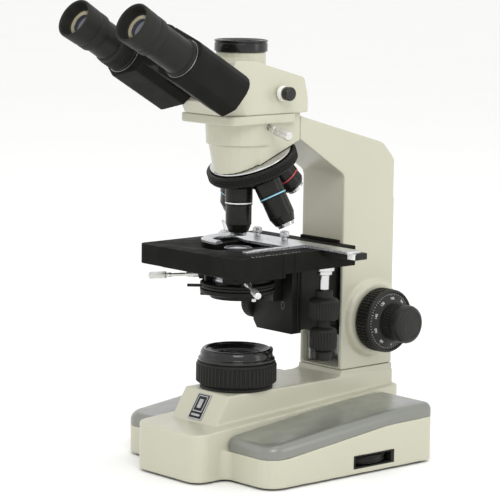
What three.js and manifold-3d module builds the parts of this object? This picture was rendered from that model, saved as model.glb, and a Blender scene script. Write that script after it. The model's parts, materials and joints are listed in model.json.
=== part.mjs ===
// Trinocular laboratory microscope, in millimetres, +Z up.
// The optical axis stands at X = 0 and Y = AXIS_Y. The eyepieces are at the front (-Y), the arm at the rear.
import * as THREE from 'three';
import { mergeVertices } from 'three/addons/utils/BufferGeometryUtils.js';
import Module from 'manifold-3d';

const wasm = await Module();
wasm.setup();

// ---------------------------------------------------------------- driving dimensions
const AXIS_Y = -4.28; // optical axis behind the middle of the whole length
const GAP = 0.3; // clearance between neighbouring pieces
const RING_SIDES = 22; // facets of a large round piece
const ROD_SIDES = 10; // facets of a small round piece
const OVER = 1; // how far a cutter runs past the face that it cuts
const WALL = 4; // thickness of the cast walls

// base
const BASE_LOW = 2; // underside of the casting
const BASE_FRONT = -85.5;
const BASE_REAR = 177;
const TONGUE_HALF = 43.5; // half width of the middle body at the front
const TAIL_HALF = 38; // and at the rear
const WING_FRONT = -50;
const WING_REAR = 153;
const WING_HALF_FRONT = 101.5;
const WING_HALF_REAR = 106.6;
const DECK_FRONT = 45.4; // height of the middle body at its front
const DECK_REAR = 59.8;
const PEDESTAL_TOP = 73.5;
const PEDESTAL_HALF = 30;
const PEDESTAL_FOOT = -52; // where the sloped badge face meets the deck
const PEDESTAL_EDGE = -35; // where it meets the top
// top of the wings, Y and Z
const PAD_LINE = [[WING_FRONT, 28.2], [-29, 28.2], [94, 42.2], [WING_REAR, 43.6]];
const PAD_TOP = [[WING_FRONT, 39.5], [-42, 40.5], [100, 54.6], [WING_REAR, 56.8]]; // top of the pads
const PLATE_LOW = 2.8;
const PLATE_THICK = 1.8;
const FOOT_R = 9;
const FOOT_PLACES = { front: [86, -30], rear: [92.5, 139] };

// illuminator, on the optical axis
const LAMP_R = 35.5;
const LAMP_FLANGE = [PEDESTAL_TOP, 77.6];
const LAMP_RING = [78, 98];
const LAMP_RING_R = 37;
const LAMP_TOP = 110;
const LAMP_BORE = 20;
const WHEEL_R = 30;
const WHEEL_AT = [76, 76];
const WHEEL_Z = [9.2, 16.8];
const SLOT_Y = [52, 100];
const SLOT_Z = [8, 18];

// arm
const ARM_HALF = 28;
const ARM_FRONT = 106.5;
const ARM_BACK = 174.5;
const ARM_SEAM = 79.3; // joint between arm and base
const ARM_NOSE = 49; // joint between arm and head support
const RECESS_HALF = 24;
const RECESS_Z = [ARM_SEAM + 2, 200];
const RECESS_BACK = 160;

// focusing gear: one axis along X
const FOCUS_Y = 147;
const FOCUS_Z = 125.5;
const COARSE_R = 30;
const COARSE_X = [34.5, 56];
const FINE_R = 18;
const FINE_X = [57, 80];
const TUBE_R = 4;
const SPINDLE_R = 2;
const PINION_R = 6; // pitch radius: 37.7 mm of travel a turn
const TEETH = 16;
const RACK_BACK = 5; // from the pitch line to the back of the rack

// stage
const STAGE_TOP = 204;
const STAGE_LOW = 186;
const STAGE_HALF = 66;
const STAGE_Y = [-63, 86];
const BRACKET_HALF = 26;
const BRACKET_Z = [120.5, 181];
const DRIVE_AT = [47, 64.5]; // the coaxial stage drive
const SLIDE_FLOOR = 204.2;

// condenser
const CONDENSER_R = 34.7;
const CONDENSER_Z = [160, 171.4];
const SCREW_ANGLE = 30; // centring screws, forward of the X axis, in degrees
const SCREW_Z = 171.3 + 4.2;
const SCREW_ROOT = 36; // where each screw leaves its boss, from the optical axis
const SCREW_END = 86;
const SCREW_DROP = 5; // outer ends hang lower, in degrees

// nosepiece: its axis leans back by TURRET_LEAN from straight down
const TURRET_LEAN = 22.5;
const SEATS = 5;
const SHOULDER_Z = 257.7; // shoulder of the working objective
const SEAT_DOWN = 13.47; // along the turret's axis, from the ring's middle to the shoulders
const SEAT_R = 22.23; // and out from that axis
const TURRET_R = 42.3;
const RING_HIGH = 4;
const RING_LOW = -6;
const LIGHT_R = 9; // the light path through it
const MOUNT_HIGH = 6.6; // top of the fixed plate that the nosepiece turns on

// head and binocular tubes: the hub axis rises to the front
const HEAD_SEAM = 325.2;
const PORT_BORE = 19; // camera port, on the optical axis
const DOVETAIL = 12; // how far the head's round foot reaches down into its support
const LOCK_AT = [36, 8, 312.3]; // the lock screw, on the right side
const LOCK_TILT = 13;
const HUB_Z = 333;
const HUB_RISE = 30;
const TUBE_RADIUS = 40.8; // from the hub axis to each eyetube
const WING_DROP = 17; // how far each tube is swung down at rest
const HOUSING_S = [47, 112]; // stretch of the hub axis that the prism housings take
const HOUSING_SPLIT = 79.5; // the right housing's hub lies behind this, the left one's in front
const HOUSING_HALF = 20.7;
const HOUSING_OUT = 59.6;
const EYEPIECE_END = 178.5;
const EYECUP_R = 18.3;

const rad = THREE.MathUtils.degToRad;

// middle of the nosepiece ring: the turret's lean puts the working seat on the optical axis
const TURRET_AT = [
  0,
  SEAT_R * Math.cos(rad(TURRET_LEAN)) - SEAT_DOWN * Math.sin(rad(TURRET_LEAN)),
  SHOULDER_Z + SEAT_DOWN * Math.cos(rad(TURRET_LEAN)) + SEAT_R * Math.sin(rad(TURRET_LEAN)),
];

// ---------------------------------------------------------------- materials
const finish = (color, roughness, metalness = 0) =>
  new THREE.MeshStandardMaterial({ color, roughness, metalness });
const PAINT = () => finish(0xd8d4c0, 0.42);
const PAD = () => finish(0x848c84, 0.5);
const BLACK = () => finish(0x2a2a27, 0.45);
const RUBBER = () => finish(0x242423, 0.75);
const CHROME = () => finish(0xd6d6d8, 0.2, 1);
const SATIN = () => finish(0xb0b3b8, 0.38, 1);
const GLASS = () => finish(0xa8c0d8, 0.05);
const BOARD = () => finish(0x2c5c3c, 0.6);

// ---------------------------------------------------------------- solids
// a closed three.js geometry as a manifold solid, for joining and cutting
function solid(geometry) {
  const bare = geometry.clone();
  bare.deleteAttribute('normal');
  bare.deleteAttribute('uv');
  const merged = mergeVertices(bare, 1e-4);
  const vertProperties = new Float32Array(merged.attributes.position.array);
  const triVerts = new Uint32Array(merged.index.array);
  return new wasm.Manifold(new wasm.Mesh({ numProp: 3, vertProperties, triVerts }));
}

// a manifold solid back as a three.js geometry
function geometryOf(manifold) {
  const mesh = manifold.getMesh();
  const geometry = new THREE.BufferGeometry();
  geometry.setAttribute('position', new THREE.BufferAttribute(new Float32Array(mesh.vertProperties), 3));
  geometry.setIndex(new THREE.BufferAttribute(new Uint32Array(mesh.triVerts), 1));
  geometry.computeVertexNormals();
  return geometry;
}

const joined = (...parts) => parts.reduce((all, part) => all.add(part));
const cut = (body, ...tools) => tools.reduce((left, tool) => left.subtract(tool), body);

// ---------------------------------------------------------------- shape helpers
function box(x, y, z) {
  const geometry = new THREE.BoxGeometry(x[1] - x[0], y[1] - y[0], z[1] - z[0]);
  return geometry.translate((x[0] + x[1]) / 2, (y[0] + y[1]) / 2, (z[0] + z[1]) / 2);
}

// outline through corners [x, y, radius]; each radius, where given, rounds its corner with an arc
function outline(corners, steps = 4) {
  const points = [];
  const count = corners.length;
  corners.forEach(([x, y, radius = 0], i) => {
    const here = new THREE.Vector2(x, y);
    if (!radius) {
      points.push(here);
      return;
    }
    const before = new THREE.Vector2(...corners[(i + count - 1) % count]).sub(here).normalize();
    const after = new THREE.Vector2(...corners[(i + 1) % count]).sub(here).normalize();
    const half = Math.acos(THREE.MathUtils.clamp(before.dot(after), -1, 1)) / 2;
    const middle = before.clone().add(after).normalize().multiplyScalar(radius / Math.sin(half)).add(here);
    const from = before.multiplyScalar(radius / Math.tan(half)).add(here).sub(middle);
    const to = after.multiplyScalar(radius / Math.tan(half)).add(here).sub(middle);
    const start = from.angle();
    let sweep = to.angle() - start;
    if (sweep > Math.PI) sweep -= 2 * Math.PI;
    if (sweep < -Math.PI) sweep += 2 * Math.PI;
    for (let k = 0; k <= steps; k += 1) {
      const angle = start + (sweep * k) / steps;
      points.push(new THREE.Vector2(middle.x + radius * Math.cos(angle), middle.y + radius * Math.sin(angle)));
    }
  });
  return new THREE.Shape(points);
}

// the right half of a symmetric outline, mirrored to a whole one
const mirrored = (half) => [...half, ...half.map(([x, y, r]) => [-x, y, r]).reverse()];

const extrude = (shape, depth) =>
  new THREE.ExtrudeGeometry(shape, { depth, bevelEnabled: false, curveSegments: 8, steps: 1 });

// prisms along Z, X and Y: an XY, YZ or XZ outline between two levels
const prismZ = (shape, low, high) => extrude(shape, high - low).translate(0, 0, low);
const AXES_X = new THREE.Matrix4().makeBasis(
  new THREE.Vector3(0, 1, 0), new THREE.Vector3(0, 0, 1), new THREE.Vector3(1, 0, 0));
const prismX = (shape, low, high) => extrude(shape, high - low).applyMatrix4(AXES_X).translate(low, 0, 0);
const AXES_Y = new THREE.Matrix4().makeBasis(
  new THREE.Vector3(1, 0, 0), new THREE.Vector3(0, 0, 1), new THREE.Vector3(0, -1, 0));
const prismY = (shape, low, high) => extrude(shape, high - low).applyMatrix4(AXES_Y).translate(0, high, 0);

// a turned piece about Z from its [radius, z] profile, which starts and ends on the axis or closes on itself
function turned(profile, sides = RING_SIDES) {
  const points = profile.map(([r, z]) => new THREE.Vector2(r, z));
  return new THREE.LatheGeometry(points, sides).rotateX(Math.PI / 2);
}

const rod = (r, z, sides = ROD_SIDES) => turned([[0, z[0]], [r, z[0]], [r, z[1]], [0, z[1]]], sides);
const ring = (inner, outer, z, sides = RING_SIDES) =>
  turned([[inner, z[0]], [outer, z[0]], [outer, z[1]], [inner, z[1]], [inner, z[0]]], sides);

// turn a piece made about Z so that its +Z runs along +X
const alongX = (geometry) => geometry.rotateY(Math.PI / 2);

// the area under a line of [y, z] points, down to a floor
const under = (line, floor) => new THREE.Shape(
  [[line[0][0], floor], ...line, [line[line.length - 1][0], floor]]
    .map(([y, z]) => new THREE.Vector2(y, z)));

const raised = (line, by) => line.map(([y, z]) => [y, z + by]);

// ---------------------------------------------------------------- scene graph
const microscope = new THREE.Group();
const upright = new THREE.Group(); // everything that is measured from the optical axis
upright.position.y = AXIS_Y;
microscope.add(upright);

function add(name, geometry, material, parent = upright) {
  const mesh = new THREE.Mesh(geometry, material);
  mesh.name = name;
  parent.add(mesh);
  return mesh;
}

const SIDES = { left: -1, right: 1 };

// ---------------------------------------------------------------- base
function wingOutline(inset, wingFront = WING_FRONT) {
  return outline(mirrored([
    [WING_HALF_FRONT - inset, wingFront + inset, 17],
    [WING_HALF_REAR - inset, WING_REAR - inset, 8],
  ]));
}

function middleOutline(inset) {
  return outline(mirrored([
    [TONGUE_HALF - inset, BASE_FRONT + inset, 13],
    [TONGUE_HALF - inset, WING_FRONT],
    [TAIL_HALF - inset, BASE_REAR - inset, 7],
  ]));
}

function baseBody(inset, floor) {
  const wings = solid(prismZ(wingOutline(inset), floor, 60))
    .intersect(solid(prismX(under(raised(PAD_LINE, -inset), floor), -120, 120)));
  const deck = [[BASE_FRONT, DECK_FRONT - inset], [BASE_REAR, DECK_REAR - inset]];
  const middle = solid(prismZ(middleOutline(inset), floor, 80))
    .intersect(solid(prismX(under(deck, floor), -60, 60)));
  const pedestal = solid(prismX(outline([
    [PEDESTAL_FOOT + inset, floor + 10],
    [PEDESTAL_FOOT + inset, DECK_FRONT + 1],
    [PEDESTAL_EDGE + inset, PEDESTAL_TOP - inset],
    [ARM_BACK - inset, PEDESTAL_TOP - inset],
    [ARM_BACK - inset, floor + 10],
  ]), -PEDESTAL_HALF + inset, PEDESTAL_HALF - inset));
  return joined(wings, middle, pedestal);
}

function baseCasting() {
  // concave corners between the tongue and the wings
  const fillet = 9;
  const corner = (side) => {
    const shape = new THREE.Shape();
    shape.moveTo(side * (TONGUE_HALF - 1), WING_FRONT + 1);
    shape.lineTo(side * (TONGUE_HALF - 1), WING_FRONT - fillet);
    shape.lineTo(side * TONGUE_HALF, WING_FRONT - fillet);
    shape.absarc(side * (TONGUE_HALF + fillet), WING_FRONT - fillet, fillet,
      side > 0 ? Math.PI : 0, Math.PI / 2, side > 0);
    shape.lineTo(side * (TONGUE_HALF + fillet), WING_FRONT + 1);
    return solid(prismZ(shape, BASE_LOW, PAD_LINE[0][1]));
  };
  const armFoot = solid(prismX(outline([
    [ARM_FRONT - 8, PEDESTAL_TOP - 2],
    [ARM_FRONT - 8, PEDESTAL_TOP],
    [ARM_FRONT - 0.5, PEDESTAL_TOP + 1.5],
    [ARM_FRONT, ARM_SEAM],
    [ARM_BACK, ARM_SEAM],
    [ARM_BACK, PEDESTAL_TOP - 2],
  ]), -ARM_HALF - 1, ARM_HALF + 1));
  const outside = joined(baseBody(0, BASE_LOW), corner(1), corner(-1), armFoot);
  const slotCut = solid(box([WING_HALF_FRONT - 12, WING_HALF_REAR + OVER], SLOT_Y, SLOT_Z));
  const lampHole = solid(rod(LAMP_BORE, [40, PEDESTAL_TOP + OVER], RING_SIDES));
  const inletHole = solid(box([-14, 14], [BASE_REAR - 12, BASE_REAR + OVER], [14, 31]));
  const switchHole = solid(box([20, 34], [BASE_REAR - 12, BASE_REAR + OVER], [14, 36]));
  const cableHole = solid(rod(9, [60, ARM_SEAM + OVER]).translate(0, 168, 0));
  return geometryOf(cut(outside, baseBody(WALL, BASE_LOW - OVER), slotCut, lampHole, inletHole, switchHole,
    cableHole));
}

// grey pads that cover the wings on both sides of the middle body
function basePad(side) {
  const inner = TONGUE_HALF + GAP;
  const whole = solid(prismZ(wingOutline(0), 10, 70))
    .intersect(solid(prismX(under(PAD_TOP, 10), -120, 120)))
    .subtract(solid(prismX(under(raised(PAD_LINE, GAP), 0), -120, 120)));
  const half = solid(box(side > 0 ? [inner, 120] : [-120, -inner], [-60, 160], [0, 80]));
  return geometryOf(whole.intersect(half));
}

function bottomPlate() {
  const plan = WALL + GAP;
  const body = joined(solid(prismZ(wingOutline(plan), PLATE_LOW, PLATE_LOW + PLATE_THICK)),
    solid(prismZ(middleOutline(plan), PLATE_LOW, PLATE_LOW + PLATE_THICK)));
  return geometryOf(body);
}

function buildBase() {
  add('base_casting', baseCasting(), PAINT());
  for (const [name, side] of Object.entries(SIDES)) add(`base_pad_${name}`, basePad(side), PAD());
  add('bottom_plate', bottomPlate(), BLACK());
  for (const [end, [x, y]] of Object.entries(FOOT_PLACES)) {
    for (const [name, side] of Object.entries(SIDES)) {
      const top = PLATE_LOW - GAP;
      const foot = turned([[0, 0], [FOOT_R - 1.5, 0], [FOOT_R, top], [0, top]], ROD_SIDES);
      add(`foot_${end}_${name}`, foot.translate(side * x, y, 0), RUBBER());
    }
  }
  // plain plate on the sloped front face
  const slope = Math.atan2(PEDESTAL_TOP - DECK_FRONT - 1, PEDESTAL_EDGE - PEDESTAL_FOOT);
  const badge = box([-8.6, 8.6], [-12.6, 12.6], [0, 1]);
  badge.rotateX(slope).translate(0, (PEDESTAL_FOOT + PEDESTAL_EDGE) / 2, (DECK_FRONT + 1 + PEDESTAL_TOP) / 2);
  const lift = new THREE.Vector3(0, -Math.sin(slope), Math.cos(slope)).multiplyScalar(0.1);
  add('badge_plate', badge.translate(lift.x, lift.y, lift.z), SATIN());
}

// ---------------------------------------------------------------- illuminator and electrics
function lampBezel() {
  const low = LAMP_RING[1] + 0.2;
  return turned([
    [LAMP_BORE, low], [LAMP_R - 0.5, low], [LAMP_R - 0.5, 102], [33.2, 104], [31.5, LAMP_TOP - 0.6],
    [30.5, LAMP_TOP], [28.2, LAMP_TOP], [23, 104.5], [LAMP_BORE, 104.5], [LAMP_BORE, low],
  ]);
}

function buildLamp() {
  const mount = turned([
    [18, LAMP_FLANGE[0]], [32, LAMP_FLANGE[0]], [32, LAMP_FLANGE[1]], [27, LAMP_FLANGE[1]],
    [27, LAMP_RING[1]], [18, LAMP_RING[1]], [18, LAMP_FLANGE[0]],
  ]);
  add('lamp_mount', mount, BLACK());
  add('field_ring', ring(27 + GAP, LAMP_RING_R, LAMP_RING), RUBBER());
  add('lamp_bezel', lampBezel(), BLACK());
  const lens = turned([[0, 99], [LAMP_BORE - GAP, 99], [LAMP_BORE - GAP, 101], [12, 103.4], [0, 104.3]], 18);
  add('collector_lens', lens, GLASS());
  const plateTop = PLATE_LOW + PLATE_THICK + 0.1;
  const lamp = turned([[0, plateTop], [14, plateTop], [14, plateTop + 3], [8, plateTop + 3], [8, 50], [4, 50],
    [4, 52], [6, 55], [6, 62], [3.5, 67], [0, 69]], ROD_SIDES);
  add('lamp_unit', lamp, GLASS());
}

function buildControls() {
  const [x, y] = WHEEL_AT;
  const wheel = turned([
    [3.2, WHEEL_Z[0]], [WHEEL_R - 1, WHEEL_Z[0]], [WHEEL_R, WHEEL_Z[0] + 1], [WHEEL_R, WHEEL_Z[1] - 1],
    [WHEEL_R - 1, WHEEL_Z[1]], [3.2, WHEEL_Z[1]], [3.2, WHEEL_Z[0]],
  ]).translate(x, y, 0);
  add('dimmer_wheel', wheel, BLACK());
  const plateTop = PLATE_LOW + PLATE_THICK + 0.1;
  const post = solid(turned([[0, plateTop], [8, plateTop], [8, WHEEL_Z[0] - GAP], [3, WHEEL_Z[0] - GAP],
    [3, WHEEL_Z[1] + 2], [0, WHEEL_Z[1] + 2]], ROD_SIDES).translate(x, y, 0));
  const board = solid(box([-70, x], [66, 130], [plateTop, plateTop + 2]));
  const transformer = solid(box([-62, -24], [80, 122], [plateTop + 1, plateTop + 26]));
  add('power_board', geometryOf(joined(board, post, transformer)), BOARD());

  // mains inlet with three blades, open to the rear
  const shell = cut(solid(box([-13.7, 13.7], [BASE_REAR - 20, BASE_REAR + 0.8], [14.3, 30.7])),
    solid(box([-12, 12], [BASE_REAR - 17, BASE_REAR + 2], [16, 29])));
  const blades = [[-7, 21], [0, 25], [7, 21]].map(([bx, bz]) =>
    solid(box([bx - 1, bx + 1], [BASE_REAR - 18, BASE_REAR - 6], [bz - 2, bz + 2])));
  add('power_inlet', geometryOf(joined(shell, ...blades)), BLACK());
  // rocker: pivots about X behind its face
  const rocker = prismX(outline([
    [BASE_REAR - 6, 17], [BASE_REAR + 0.9, 17.6], [BASE_REAR - 1.4, 25], [BASE_REAR - 0.4, 32.6],
    [BASE_REAR - 6, 33],
  ]), 20 + GAP, 34 - GAP);
  add('power_switch', rocker, RUBBER());
}

// ---------------------------------------------------------------- arm
// the space that the nosepiece turns in
function turretSweep() {
  const sweep = rod(TURRET_R + 1.8, [-30, MOUNT_HIGH + GAP], 24);
  return solid(sweep.rotateX(rad(TURRET_LEAN)).translate(...TURRET_AT));
}

function armCasting() {
  const profile = outline([
    [ARM_FRONT, ARM_SEAM + 0.1], [ARM_FRONT, 264, 7], [ARM_NOSE, 300.3], [ARM_NOSE, 322],
    [ARM_BACK - 17, 291.8, 14], [ARM_BACK - 1.5, 275, 8], [ARM_BACK, ARM_SEAM + 0.1],
  ]);
  const body = solid(prismX(profile, -ARM_HALF, ARM_HALF));
  const boss = (side) => solid(alongX(turned([
    [0, ARM_HALF - 1], [38, ARM_HALF - 1], [35.5, ARM_HALF + 3.4], [33, ARM_HALF + 5.6], [0, ARM_HALF + 5.6],
  ])).rotateZ(side > 0 ? 0 : Math.PI).translate(0, FOCUS_Y, FOCUS_Z));
  const behind = solid(box([-60, 60], [ARM_BACK, ARM_BACK + 30], [0, 300]));
  const whole = joined(body, boss(1), boss(-1)).subtract(behind);
  const recess = solid(box([-RECESS_HALF, RECESS_HALF], [ARM_FRONT - OVER, RECESS_BACK], RECESS_Z));
  const bore = solid(alongX(rod(TUBE_R + GAP, [-40, 40])).translate(0, FOCUS_Y, FOCUS_Z));
  return geometryOf(cut(whole, recess, bore, turretSweep()));
}

function headSupport() {
  const flange = solid(prismZ(outline([
    [35, -42.5, 6], [35, 36, 4], [ARM_HALF, 40], [ARM_HALF, ARM_NOSE - 0.2], [-ARM_HALF, ARM_NOSE - 0.2],
    [-ARM_HALF, 40], [-35, 36, 4], [-35, -42.5, 6],
  ].reverse()), 317, HEAD_SEAM));
  const tapered = (bottomR, topR, low, high) => {
    const horn = solid(turned([[0, low], [bottomR, low], [topR, high], [0, high]]));
    const back = solid(box([-ARM_HALF, ARM_HALF], [0, ARM_NOSE - 0.2], [low, high]));
    return joined(horn, back);
  };
  const upper = tapered(30.6, 31.6, 297, 317.5);
  const lower = tapered(23, 28.4, 268, 297);
  const body = joined(flange, upper, lower);
  // the underside lies on the nosepiece's fixed plate
  const below = box([-90, 90], [-90, 90], [-90, MOUNT_HIGH + GAP]);
  below.rotateX(rad(TURRET_LEAN)).translate(...TURRET_AT);
  const path = solid(rod(LIGHT_R + 2, [250, HEAD_SEAM + OVER]));
  const seat = solid(rod(20, [HEAD_SEAM - DOVETAIL - GAP, HEAD_SEAM + OVER], 24));
  const screwHole = solid(alongX(rod(2.6, [-19, 10])).rotateY(rad(LOCK_TILT)).translate(...LOCK_AT));
  return geometryOf(cut(body, solid(below), path, seat, screwHole));
}

function buildArm() {
  add('arm_casting', armCasting(), PAINT());
  add('head_support', headSupport(), PAINT());
  const channel = cut(
    solid(box([-RECESS_HALF + GAP, RECESS_HALF - GAP], [112, 139], [RECESS_Z[0] + 1, RECESS_Z[1] - 1])),
    solid(box([-19, 19], [111, 137], [RECESS_Z[0], RECESS_Z[1]])),
    solid(box([-7, 7], [130, 140], [RECESS_Z[0] + 6, RECESS_Z[1] - 6])));
  add('guide_rail', geometryOf(channel), CHROME());
  const knob = turned([[0, -15], [2.2, -15], [2.2, 1], [4.4, 2], [4.4, 20], [3.2, 22], [0, 22]], ROD_SIDES);
  alongX(knob).rotateY(rad(LOCK_TILT));
  add('head_lock_screw', knob.translate(...LOCK_AT), CHROME());
}

// ---------------------------------------------------------------- focusing gear
function gearShape(teeth, pitchR, bore) {
  const module = (2 * pitchR) / teeth;
  const step = (2 * Math.PI) / teeth;
  const points = [];
  for (let i = 0; i < teeth; i += 1) {
    // a gap between teeth faces the rack
    const middle = (i + 0.5) * step;
    for (const [r, a] of [[-1.15, -0.3], [0.75, -0.1], [0.75, 0.1], [-1.15, 0.3]]) {
      const radius = pitchR + r * module;
      points.push(new THREE.Vector2(radius * Math.cos(middle + a * step), radius * Math.sin(middle + a * step)));
    }
  }
  const shape = new THREE.Shape(points);
  const hole = new THREE.Path();
  hole.absarc(0, 0, bore, 0, 2 * Math.PI, true);
  shape.holes.push(hole);
  return shape;
}

function rackShape(length) {
  const pitch = (2 * Math.PI * PINION_R) / TEETH;
  const module = (2 * PINION_R) / TEETH;
  const half = Math.floor(length / pitch / 2);
  const points = [new THREE.Vector2(-RACK_BACK, -(half + 0.5) * pitch)];
  for (let i = -half; i <= half; i += 1) {
    for (const [out, at] of [[-1.15, -0.3], [0.75, -0.1], [0.75, 0.1], [-1.15, 0.3]]) {
      points.push(new THREE.Vector2(out * module, (i + at) * pitch));
    }
  }
  points.push(new THREE.Vector2(-RACK_BACK, (half + 0.5) * pitch));
  return new THREE.Shape(points);
}

function coarseKnob(side) {
  const [low, high] = COARSE_X;
  const profile = [
    [TUBE_R + 0.1, low], [COARSE_R - 2, low], [COARSE_R, low + 2], [COARSE_R, low + 15], [COARSE_R - 1, low + 16],
    [COARSE_R - 3.5, high], [TUBE_R + 0.1, high], [TUBE_R + 0.1, low],
  ];
  return alongX(turned(profile, 24)).rotateZ(side > 0 ? 0 : Math.PI);
}

function fineKnob(side) {
  const [low, high] = FINE_X;
  const profile = [
    [SPINDLE_R + 0.1, low], [FINE_R - 1, low], [FINE_R, low + 1], [FINE_R, high - 3], [FINE_R - 2, high],
    [0, high], [0, low + 8], [SPINDLE_R + 0.1, low + 8], [SPINDLE_R + 0.1, low],
  ];
  return alongX(turned(profile, 18)).rotateZ(side > 0 ? 0 : Math.PI);
}

function buildFocus() {
  const axle = new THREE.Group();
  axle.position.set(0, FOCUS_Y, FOCUS_Z);
  upright.add(axle);
  const end = COARSE_X[1] - 2;
  add('fine_spindle', alongX(rod(SPINDLE_R, [-FINE_X[0] - 7, FINE_X[0] + 7], 12)), SATIN(), axle);
  const tube = solid(alongX(ring(SPINDLE_R + 0.3, TUBE_R, [-end, end], ROD_SIDES)));
  const pinion = solid(prismX(gearShape(TEETH, PINION_R, TUBE_R - 0.8), -4, 4));
  add('coarse_shaft', geometryOf(tube.add(pinion)), SATIN(), axle);
  for (const [name, side] of Object.entries(SIDES)) {
    add(`coarse_knob_${name}`, coarseKnob(side), BLACK(), axle);
    add(`fine_knob_${name}`, fineKnob(side), BLACK(), axle);
  }
}

// ---------------------------------------------------------------- stage
function stageBracket() {
  const front = solid(prismY(outline([
    [-BRACKET_HALF, BRACKET_Z[0] + 7], [-BRACKET_HALF + 5, BRACKET_Z[0]], [BRACKET_HALF, BRACKET_Z[0]],
    [BRACKET_HALF, BRACKET_Z[1]], [-BRACKET_HALF, BRACKET_Z[1]],
  ]), 44, 56));
  const web = solid(box([-22, 22], [55, 105], [BRACKET_Z[0] + 2, BRACKET_Z[1]]));
  const slider = solid(box([-18.6, 18.6], [104, 136.5], [112, BRACKET_Z[1]]));
  const rack = solid(prismX(rackShape(58), -5, 5).translate(0, FOCUS_Y - PINION_R, FOCUS_Z + 21.2));
  const knobBore = solid(alongX(rod(3.3, [-40, -14])).translate(0, 53, 142));
  return geometryOf(cut(joined(front, web, slider, rack), knobBore));
}

function lowerPlate() {
  // narrow at the rear, where the drive passes it
  const plate = solid(prismZ(outline(mirrored([[44, -55, 3], [44, 18], [36, 18], [36, 70]])),
    BRACKET_Z[1] + 0.1, STAGE_LOW - GAP));
  const hole = solid(rod(26, [170, 190]));
  const thinFront = solid(box([-60, 60], [-60, 40], [170, STAGE_LOW - 2.2]));
  return geometryOf(cut(plate, hole, thinFront));
}

function stagePlate() {
  const slab = solid(prismZ(outline([
    [-STAGE_HALF, STAGE_Y[0], 7], [STAGE_HALF, STAGE_Y[0], 7], [STAGE_HALF, STAGE_Y[1], 2],
    [-STAGE_HALF, STAGE_Y[1], 2],
  ]), STAGE_LOW, STAGE_TOP));
  const window = solid(prismZ(outline([[-19, -37, 18], [19, -37, 18], [19, 51, 18], [-19, 51, 18]], 6),
    STAGE_LOW - OVER, STAGE_TOP + OVER));
  // room below for the condenser's ring, and a groove above for the rack
  const relief = solid(box([-40, 40], [-45, 78], [STAGE_LOW - OVER, STAGE_TOP - 7]));
  const groove = solid(box([-STAGE_HALF - OVER, STAGE_HALF + OVER], [43.5, 60.5], [198, STAGE_TOP + OVER]));
  return geometryOf(cut(slab, window, relief, groove));
}

function buildStage() {
  add('stage_bracket', stageBracket(), BLACK());
  add('stage_lower_plate', lowerPlate(), BLACK());
  add('stage_plate', stagePlate(), BLACK());
}

// coaxial stage drive, hanging from the stage's right side
function buildDrive() {
  const drive = new THREE.Group();
  drive.position.set(...DRIVE_AT, 0);
  upright.add(drive);
  const post = turned([[0, 97.5], [4.4, 97.5], [4.4, 177], [7, 177.2], [7, 180.6], [9, 180.6],
    [9, STAGE_LOW - 0.1], [0, STAGE_LOW - 0.1]], ROD_SIDES);
  add('drive_post', post, CHROME(), drive);
  const knob = (low, high, r, neckR, neckTop) => turned([
    [4.7, low], [r - 1.2, low], [r, low + 1.2], [r, high - 2], [neckR, high], [neckR, neckTop], [4.7, neckTop],
    [4.7, low],
  ], 18);
  add('stage_y_knob', knob(135.4, 156.1, 14.2, 8.2, 162.6), RUBBER(), drive);
  add('stage_x_knob', knob(107.7, 128.4, 12.8, 6, 135), RUBBER(), drive);
}

// the carriage that slides in X and holds the specimen
function buildCarriage() {
  const plate = prismZ(outline([
    [-58, 36], [-10, 17], [42.6, 17], [42.6, -34], [47.6, -34], [47.6, 38], [104, 38], [104, 55], [-58, 55],
  ]), SLIDE_FLOOR + 0.2, SLIDE_FLOOR + 2.4);
  const rack = box([-60, 106], [44, 60], [198.4, SLIDE_FLOOR + 1]);
  add('slide_carriage', geometryOf(joined(solid(plate), solid(rack))), SATIN());
  const screwAt = { left: -22.8, right: 14 };
  for (const [name, x] of Object.entries(screwAt)) {
    const low = SLIDE_FLOOR + 2.5;
    const screw = turned([[0, low], [3, low], [3, low + 3], [4.4, low + 3.4], [4.4, low + 8.5], [0, low + 8.5]],
      ROD_SIDES);
    add(`carriage_screw_${name}`, screw.translate(x, 44.5, 0), CHROME());
  }
  // sprung finger: a curved arm from its pivot to the specimen's front corner
  const low = SLIDE_FLOOR + 2.6;
  const finger = new THREE.Shape();
  finger.absarc(-8, 6, 33, rad(150), rad(282), false);
  finger.absarc(-6, 8, 25, rad(278), rad(152), true);
  const pad = solid(prismZ(finger, low, low + 3));
  const hub = solid(rod(5, [low, low + 4]).translate(-48, 28, 0));
  const neck = outline([[-53, 26], [-46, 32], [-34, 24], [-30, 17], [-38, 14], [-49, 20]]);
  const bridge = solid(prismZ(neck, low, low + 1.6));
  const handle = alongX(rod(1.2, [0, 17], 8)).rotateY(rad(-30)).rotateZ(rad(150));
  handle.translate(-48, 28, low + 2);
  add('clip_finger', geometryOf(joined(pad, hub, bridge, solid(handle))), SATIN());
}

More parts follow.
